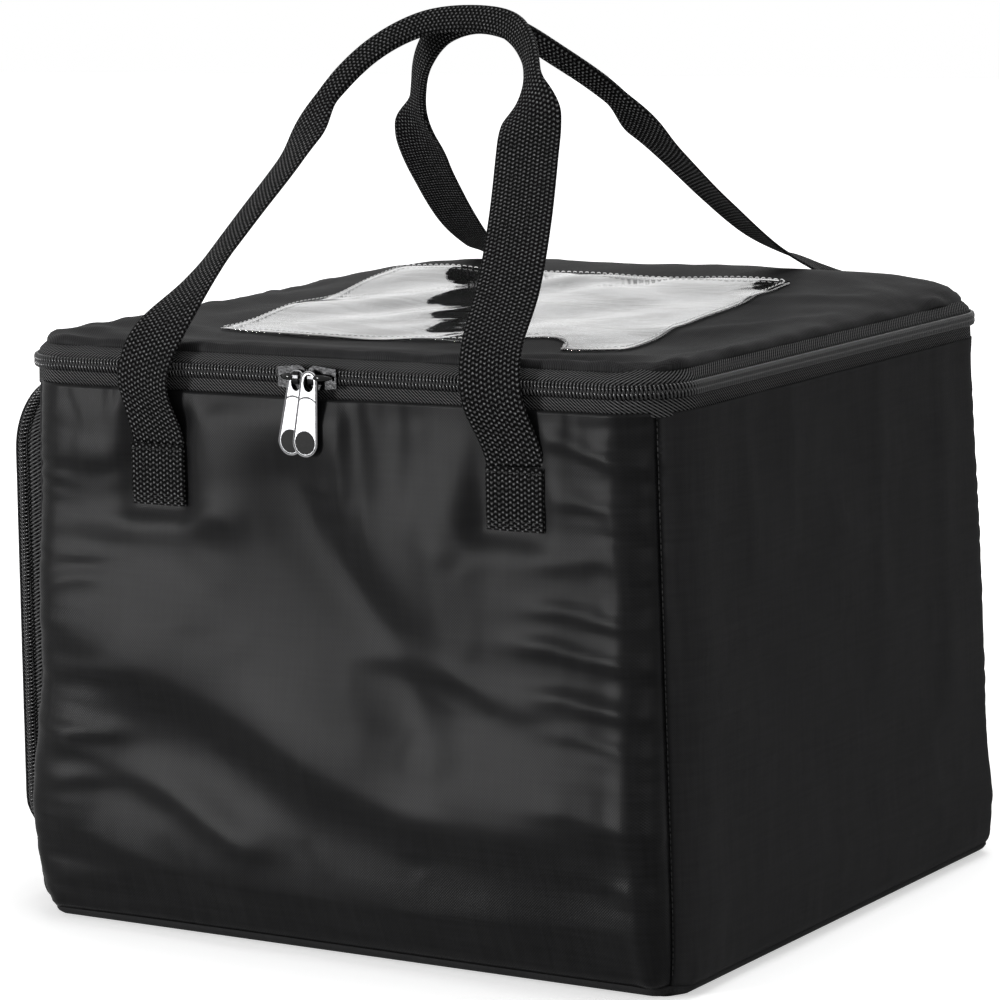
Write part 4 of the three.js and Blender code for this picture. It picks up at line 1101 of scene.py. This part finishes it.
back_route = [
    (97, 0, 0), (97.2, -3.6, 16.7), (96.8, -5.6, 34.7), (94.5, 5.4, 52.8), (91, 32.2, 61.2),
    (85.5, 62.2, 74.7), (78, 96.2, 98.2), (68.8, 127.7, 124.5), (53.9, 151.7, 151.3), (37, 170.7, 169.7),
    (20, 179.7, 181.7), (0, 181.2, 186.2),
]


def between(low, high, start, end, t):
    return low * (end - t) / (end - start) + high * (t - start) / (end - start)


def smooth_curve(points, count):
    """A centripetal Catmull-Rom curve through the points, at even steps of length."""
    points = np.array(points, float)
    ends = np.vstack([2 * points[0] - points[1], points, 2 * points[-1] - points[-2]])
    fine = []
    for i in range(1, len(ends) - 2):
        p0, p1, p2, p3 = ends[i - 1:i + 3]
        t1 = np.linalg.norm(p1 - p0) ** 0.5
        t2 = t1 + np.linalg.norm(p2 - p1) ** 0.5
        t3 = t2 + np.linalg.norm(p3 - p2) ** 0.5
        for t in np.linspace(t1, t2, 40, endpoint=False):
            a1, a2, a3 = between(p0, p1, 0, t1, t), between(p1, p2, t1, t2, t), between(p2, p3, t2, t3, t)
            fine.append(between(between(a1, a2, 0, t2, t), between(a2, a3, t1, t3, t), t1, t2, t))
    fine = np.array(fine + [points[-1]])
    distance = run_length(fine)
    even = np.linspace(0, distance[-1], count)
    return rows_of(*(np.interp(even, distance, column) for column in fine.T)), even


def blunt(turns, across, through):
    """A closed section, rounder the nearer its two powers are to 1."""
    x, y = np.cos(turns), np.sin(turns)
    return rows_of(np.sign(x) * np.abs(x) ** across, np.sign(y) * np.abs(y) ** through)


def handle_piece(name, route, face, left_twist, right_twist, left_start, left_grip, right_grip):
    """One handle. Its legs face outwards, and its grip stands on edge towards one end. The legs'
    twists are in degrees, and the start of the left turn and the grip's halves in millimetres."""
    foot_y = front_wall(PATCH_TOP) - 1.1
    half = [(x, -face * (foot_y + back), PATCH_TOP + 0.3 + up) for x, back, up in route]
    at, distance = smooth_curve([(-x, y, z) for x, y, z in half] + half[::-1][1:], HANDLE_STEPS)
    length = distance[-1]
    nearest = np.minimum(distance, length - distance)
    left = distance < length / 2
    fold_start = length / 2 - np.where(left, left_grip, right_grip) - FOLD_LENGTH / 2
    fold = smooth_step(nearest, fold_start, fold_start + FOLD_LENGTH)
    turn_start = np.where(left, left_start, RIGHT_START)
    turned = smooth_step(nearest, turn_start, turn_start + TURN_LENGTH)
    gripped = smooth_step(nearest, fold_start - 12, fold_start + FOLD_LENGTH + 14)
    leg_twist = np.where(left, -left_twist, right_twist) * turned * (1 - gripped)
    along_grip = np.clip((distance - length / 2) / GRIP_HALF, -1, 1) * -face
    twist = np.radians(leg_twist + face * GRIP_TURN * gripped * smooth_step(along_grip, 0.0, 0.6))
    tangent = unit(np.gradient(at, axis=0))
    outward = rows_of(np.sin(twist), face * np.cos(twist), 0.5)
    across = unit(np.cross(tangent, outward))
    normal = np.cross(across, tangent)
    at[:, 0] += FOOT_SHIFT * (1 - smooth_step(nearest, 0, 30))
    turns = full_turn(HANDLE_SIDES)
    flat, thick = blunt(turns, 0.35, 0.6), blunt(turns, 0.8, 0.8)
    rows = []
    uv = []
    for i, share in enumerate(fold):
        section = flat + (thick - flat) * share
        width = WEB_WIDTH + (GRIP_WIDTH - WEB_WIDTH) * share
        thickness = WEB_THICKNESS + (GRIP_THICKNESS - WEB_THICKNESS) * share
        curl = 1.2 * (1 - share) * turned[i] * section[:, :1] ** 2
        rows.append(at[i] + section[:, :1] * width / 2 * across[i]
                    + (section[:, 1:] * thickness / 2 - curl) * normal[i])
        wide = section[:, 0] * (WEB_WIDTH / 2 + (FOLDED_HALF - WEB_WIDTH / 2) * share)
        uv.append(rows_of(distance[i], wide + 40 * (section[:, 1] < 0)))
    return mesh_piece(name, rows, tube_faces(len(rows), HANDLE_SIDES), uv)


for side_name, route, face, shape in (
    ("front", front_route, -1, (33, 14, 44, 93, 80)), ("back", back_route, 1, (-5, 26, 26, 95, 90)),
):
    handle = handle_piece(side_name + "_handle_webbing", route, face, *shape)
    dress(handle, webbing, side_name + "_handle", "webbing", side_name + "_handle_strap")
    if face < 0:
        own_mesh(handle)
    else:
        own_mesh(handle)


# The sliders: die-cast zinc, black plated. Two plates with their edges turned over the coils are
# held apart by a neck, and a bridge on the outer plate carries the pull.
slider_metal = noise_finish("black plated zinc", 700.0, 0.004, (0.035, 0.035, 0.036), (0.12, 0.3),
                            (0.2, 0.0002), 3.0, Metallic=1.0)
black_gloss = noise_finish("black enamel", 500.0, 0.002, 0.006, (0.04, 0.1), Specular_IOR_Level=0.25)
for name in ("lid_slider_left", "lid_slider_right", "door_slider"):
    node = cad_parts[name]
    node.data.materials.clear()
    node.data.materials.append(slider_metal)


def bridge_piece(name, start, along, outward, length):
    """The bridge: a rounded bar that arches from the plate over the pull's eye."""
    start, along, outward = np.array(start), np.array(along), np.array(outward)
    side = np.cross(along, outward)
    shares, sides = np.linspace(0, 1, 17), 10
    rings = []
    for s in shares:
        swell = max(0.06, sin(pi * s)) ** 0.55
        middle = start + along * length * s + outward * (0.4 + 2.6 * swell)
        for turn in full_turn(sides):
            rings.append(middle + side * 1.55 * swell * cos(turn) + outward * 1.1 * swell * sin(turn))
    return mesh_piece(name, rings, tube_faces(len(shares), sides))


for name, start, along, outward, body in (
    ("bridge_left", (-7.6, -162.6, 267.5), (-1, 0, 0), (0, -1, 0), "slider_left"),
    ("bridge_right", (-3.2, -162.6, 267.5), (1, 0, 0), (0, -1, 0), "slider_right"),
    ("bridge_door", (-184.93, 141.1, 59.8), (0, 0, 1), (0, 1, 0), "slider_door"),
):
    dress(bridge_piece(name, start, along, outward, 12.0), black_gloss, body, "slider_metal")


# The pulls: each a stamped plate with a raised rim, an eye that hangs on the bridge, a satin
# face below a step, and a black enamelled disc at the end.
pull_metal = noise_finish("satin nickel", 1800.0, (0.13, 0.13, 0.133), (0.4, 0.4, 0.41), (0.3, 0.5),
                          (0.3, 0.0002), Metallic=1.0)
EYE_TOP = 3.0
EYE_HALF = 4.5
TIP_RADIUS = 6.7
TIP_MIDDLE = 29.7


def pull_outline(inset, top=None, low=None):
    """The pull's outline, inset evenly: across and down from the bridge."""
    rows = []
    for a in np.linspace(0, pi, 15):
        rows.append(((EYE_HALF - inset) * cos(a), EYE_HALF - EYE_TOP - (EYE_HALF - inset) * sin(a)))
    for a in np.linspace(pi, 2 * pi, 19):
        rows.append(((TIP_RADIUS - inset) * cos(a), TIP_MIDDLE - (TIP_RADIUS - inset) * sin(a)))
    if top is None and low is None:
        return rows
    level = top or low
    half = EYE_HALF - inset + (TIP_RADIUS - EYE_HALF) * (level - 1.5) / (TIP_MIDDLE - 1.5)
    across = np.linspace(-half, half, 9)
    step = [(a, level - 1.4 * (1 - (a / half) ** 2)) for a in across]
    if low is not None:
        return rows[:15] + step
    return rows[15:] + step[::-1]


def stamped(name, loops, low, high, bevel, place, finish, wire=None):
    """A flat part from closed loops, or a wire along one, set on the pull's plane."""
    curve = bpy.data.curves.new(name, "CURVE")
    curve.dimensions = "3D" if wire else "2D"
    curve.fill_mode = "FULL" if wire else "BOTH"
    for loop in loops:
        spline = curve.splines.new("POLY")
        spline.points.add(len(loop) - 1)
        for point, (across, down) in zip(spline.points, loop):
            point.co = (across / 1000, -down / 1000, 0, 1)
        spline.use_cyclic_u = True
    curve.extrude = 0 if wire else max((high - low) / 2 - bevel, 0.01) / 1000
    curve.bevel_depth = (wire or bevel) / 1000
    curve.bevel_resolution = 2
    solid = linked(name, curve)
    mesh = bpy.data.meshes.new_from_object(solid.evaluated_get(bpy.context.evaluated_depsgraph_get()))
    bpy.data.objects.remove(solid)
    mesh.transform(place @ Matrix.Translation((0, 0, (low + high) / 2000)))
    mesh.materials.clear()
    mesh.materials.append(finish)
    return linked(name, mesh)


eye_turns = full_turn(24)
eye_hole = rows_of(2.9 * np.cos(eye_turns), 2.6 + 4.1 * np.sin(eye_turns))
disc = rows_of(5.3 * np.cos(eye_turns), TIP_MIDDLE + 0.1 + 5.3 * np.sin(eye_turns))
for side_name, body, node, at, facing, lean in (
    ("left", "pull_left", "lid_pull_left", (-9.8, -164.0, 267.6), (0, -1, 0), 9.0),
    ("right", "pull_right", "lid_pull_right", (-2.2, -165.5, 267.6), (0, -1, 0), 6.5),
    ("door", "pull_door", "door_pull", (-184.93, 142.6, 61.8), (0, 1, 0), 0.0),
):
    normal = Vector(facing)
    up = Vector((0, 0, 1))
    plane = Matrix((up.cross(normal), up, normal)).transposed().to_4x4()
    scale = 0.72 if side_name == "door" else 1.0
    place = Matrix.Translation(Vector(at) / 1000) @ plane @ Matrix.Rotation(radians(-lean), 4, "Z")
    place = place @ Matrix.Diagonal((scale, scale, 1, 1))
    parts = [
        stamped(kind + "_" + side_name, loops, low, high, bevel, place, finish, wire)
        for kind, loops, low, high, bevel, finish, wire in (
            ("pull_plate", [pull_outline(0), eye_hole], -0.45, 0.35, 0.1, slider_metal, None),
            ("pull_rim", [pull_outline(0.3)], 0.3, 0.4, 0, pull_metal, 0.3),
            ("pull_eye", [pull_outline(0.95, low=10.2), eye_hole], 0.2, 0.62, 0.1, pull_metal, None),
            ("pull_face", [pull_outline(1.0, top=11.0)], 0.2, 0.55, 0.1, pull_metal, None),
            ("pull_disc", [disc], 0.3, 0.66, 0.08, black_gloss, None),
        )
    ]
    for part in parts:
        part.data.shade_flat()
        dress(part, None, body, "pull_metal")
    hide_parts(node)


# The upright seams: one beside each corner, from just above the bottom's groove to just under
# the zip's tape. The stitches lie in the hollow where two panels meet.
def seam_line(side_x, side_y, angle, out):
    z = np.arange(12, PANEL_TOP - 1, 2.0)
    points = wall_point(side_x, side_y, angle, out - corner_draw(np.full(len(z), angle), z), z)
    return points, np.tile([np.cos(angle), np.sin(angle), 0], (len(z), 1))


for name, side_x, side_y, angle in (
    ("front_right", 1, -1, radians(270 + SEAM_ANGLE)), ("back_right", 1, 1, radians(90 - SEAM_ANGLE)),
    ("front_left", -1, -1, radians(225)), ("back_left", -1, 1, radians(135)),
):
    points, normals = seam_line(side_x, side_y, angle, -0.9)
    sew("seam_stitches_" + name, points, normals, "bag", pitch=2.8)


# The studio: a pale floor and plain soft light from large lamps, at a level where colours
# render as they are written. The world is white to the camera, in reflections and through the
# film, and the floor shines white to the camera away from the bag and dimmer in reflections.
FLOOR_HALF = 6000
floor = mesh_piece("floor", [
    (x * FLOOR_HALF, y * FLOOR_HALF, 0) for x, y in ((-1, -1), (1, -1), (1, 1), (-1, 1))], [(0, 1, 2, 3)])
floor_finish, tree, shader = new_finish("pale floor", Roughness=0.9)
path_kind = node_in(tree, "ShaderNodeLightPath")
join(shader, Base_Color=mix_colour(tree, path_kind.outputs["Is Glossy Ray"], 0.86, 0.1))
place = node_in(tree, "ShaderNodeTexCoord")
away = node_in(tree, "ShaderNodeVectorMath", [(0, place.outputs["Object"])], operation="LENGTH")
far = node_in(tree, "ShaderNodeMapRange", [
    ("Value", away.outputs["Value"]), ("From Min", 0.3), ("From Max", 1.3), ("To Min", 0.5), ("To Max", 1.0)])
seen = math_in(tree, "MULTIPLY", path_kind.outputs["Is Camera Ray"], far.outputs[0])
white = math_in(tree, "MULTIPLY_ADD", path_kind.outputs["Is Glossy Ray"], 0.5, seen)
glow = node_in(tree, "ShaderNodeEmission", [("Color", (1, 1, 1, 1)), ("Strength", white)])
both = node_in(tree, "ShaderNodeAddShader", [(0, shader.outputs[0]), (1, glow.outputs[0])])
tree.links.new(both.outputs[0], tree.nodes["Material Output"].inputs["Surface"])
floor.data.materials.append(floor_finish)


def lamp(name, place, aim, size, power):
    data = bpy.data.lights.new(name, "AREA")
    data.shape = "RECTANGLE"
    data.size, data.size_y = size
    data.energy = power
    light = linked(name, data)
    light.location = place
    light.rotation_euler = (Vector(aim) - Vector(place)).to_track_quat("-Z", "Y").to_euler()


lamp("key", (-1.45, -2.3, 0.4), (0, 0, 0.15), (0.55, 0.55), 62)
lamp("top", (0.2, 0.2, 2.4), (0, 0, 0.2), (1.4, 1.4), 32)
lamp("fill", (2.4, -1.2, 0.9), (0, 0, 0.15), (1.2, 1.2), 11)
world = bpy.data.worlds.new("studio")
scene.world = world
world.use_nodes = True
tree = world.node_tree
background = tree.nodes["Background"]
background.inputs["Color"].default_value = (1, 1, 1, 1)
path_kind = node_in(tree, "ShaderNodeLightPath")
seen = math_in(tree, "MAXIMUM", path_kind.outputs["Is Camera Ray"], path_kind.outputs["Is Glossy Ray"])
seen = math_in(tree, "MAXIMUM", seen, path_kind.outputs["Is Transmission Ray"])
tree.links.new(map_range(tree, seen, 0.3, 1.0), background.inputs["Strength"])
scene.view_settings.view_transform = "Standard"
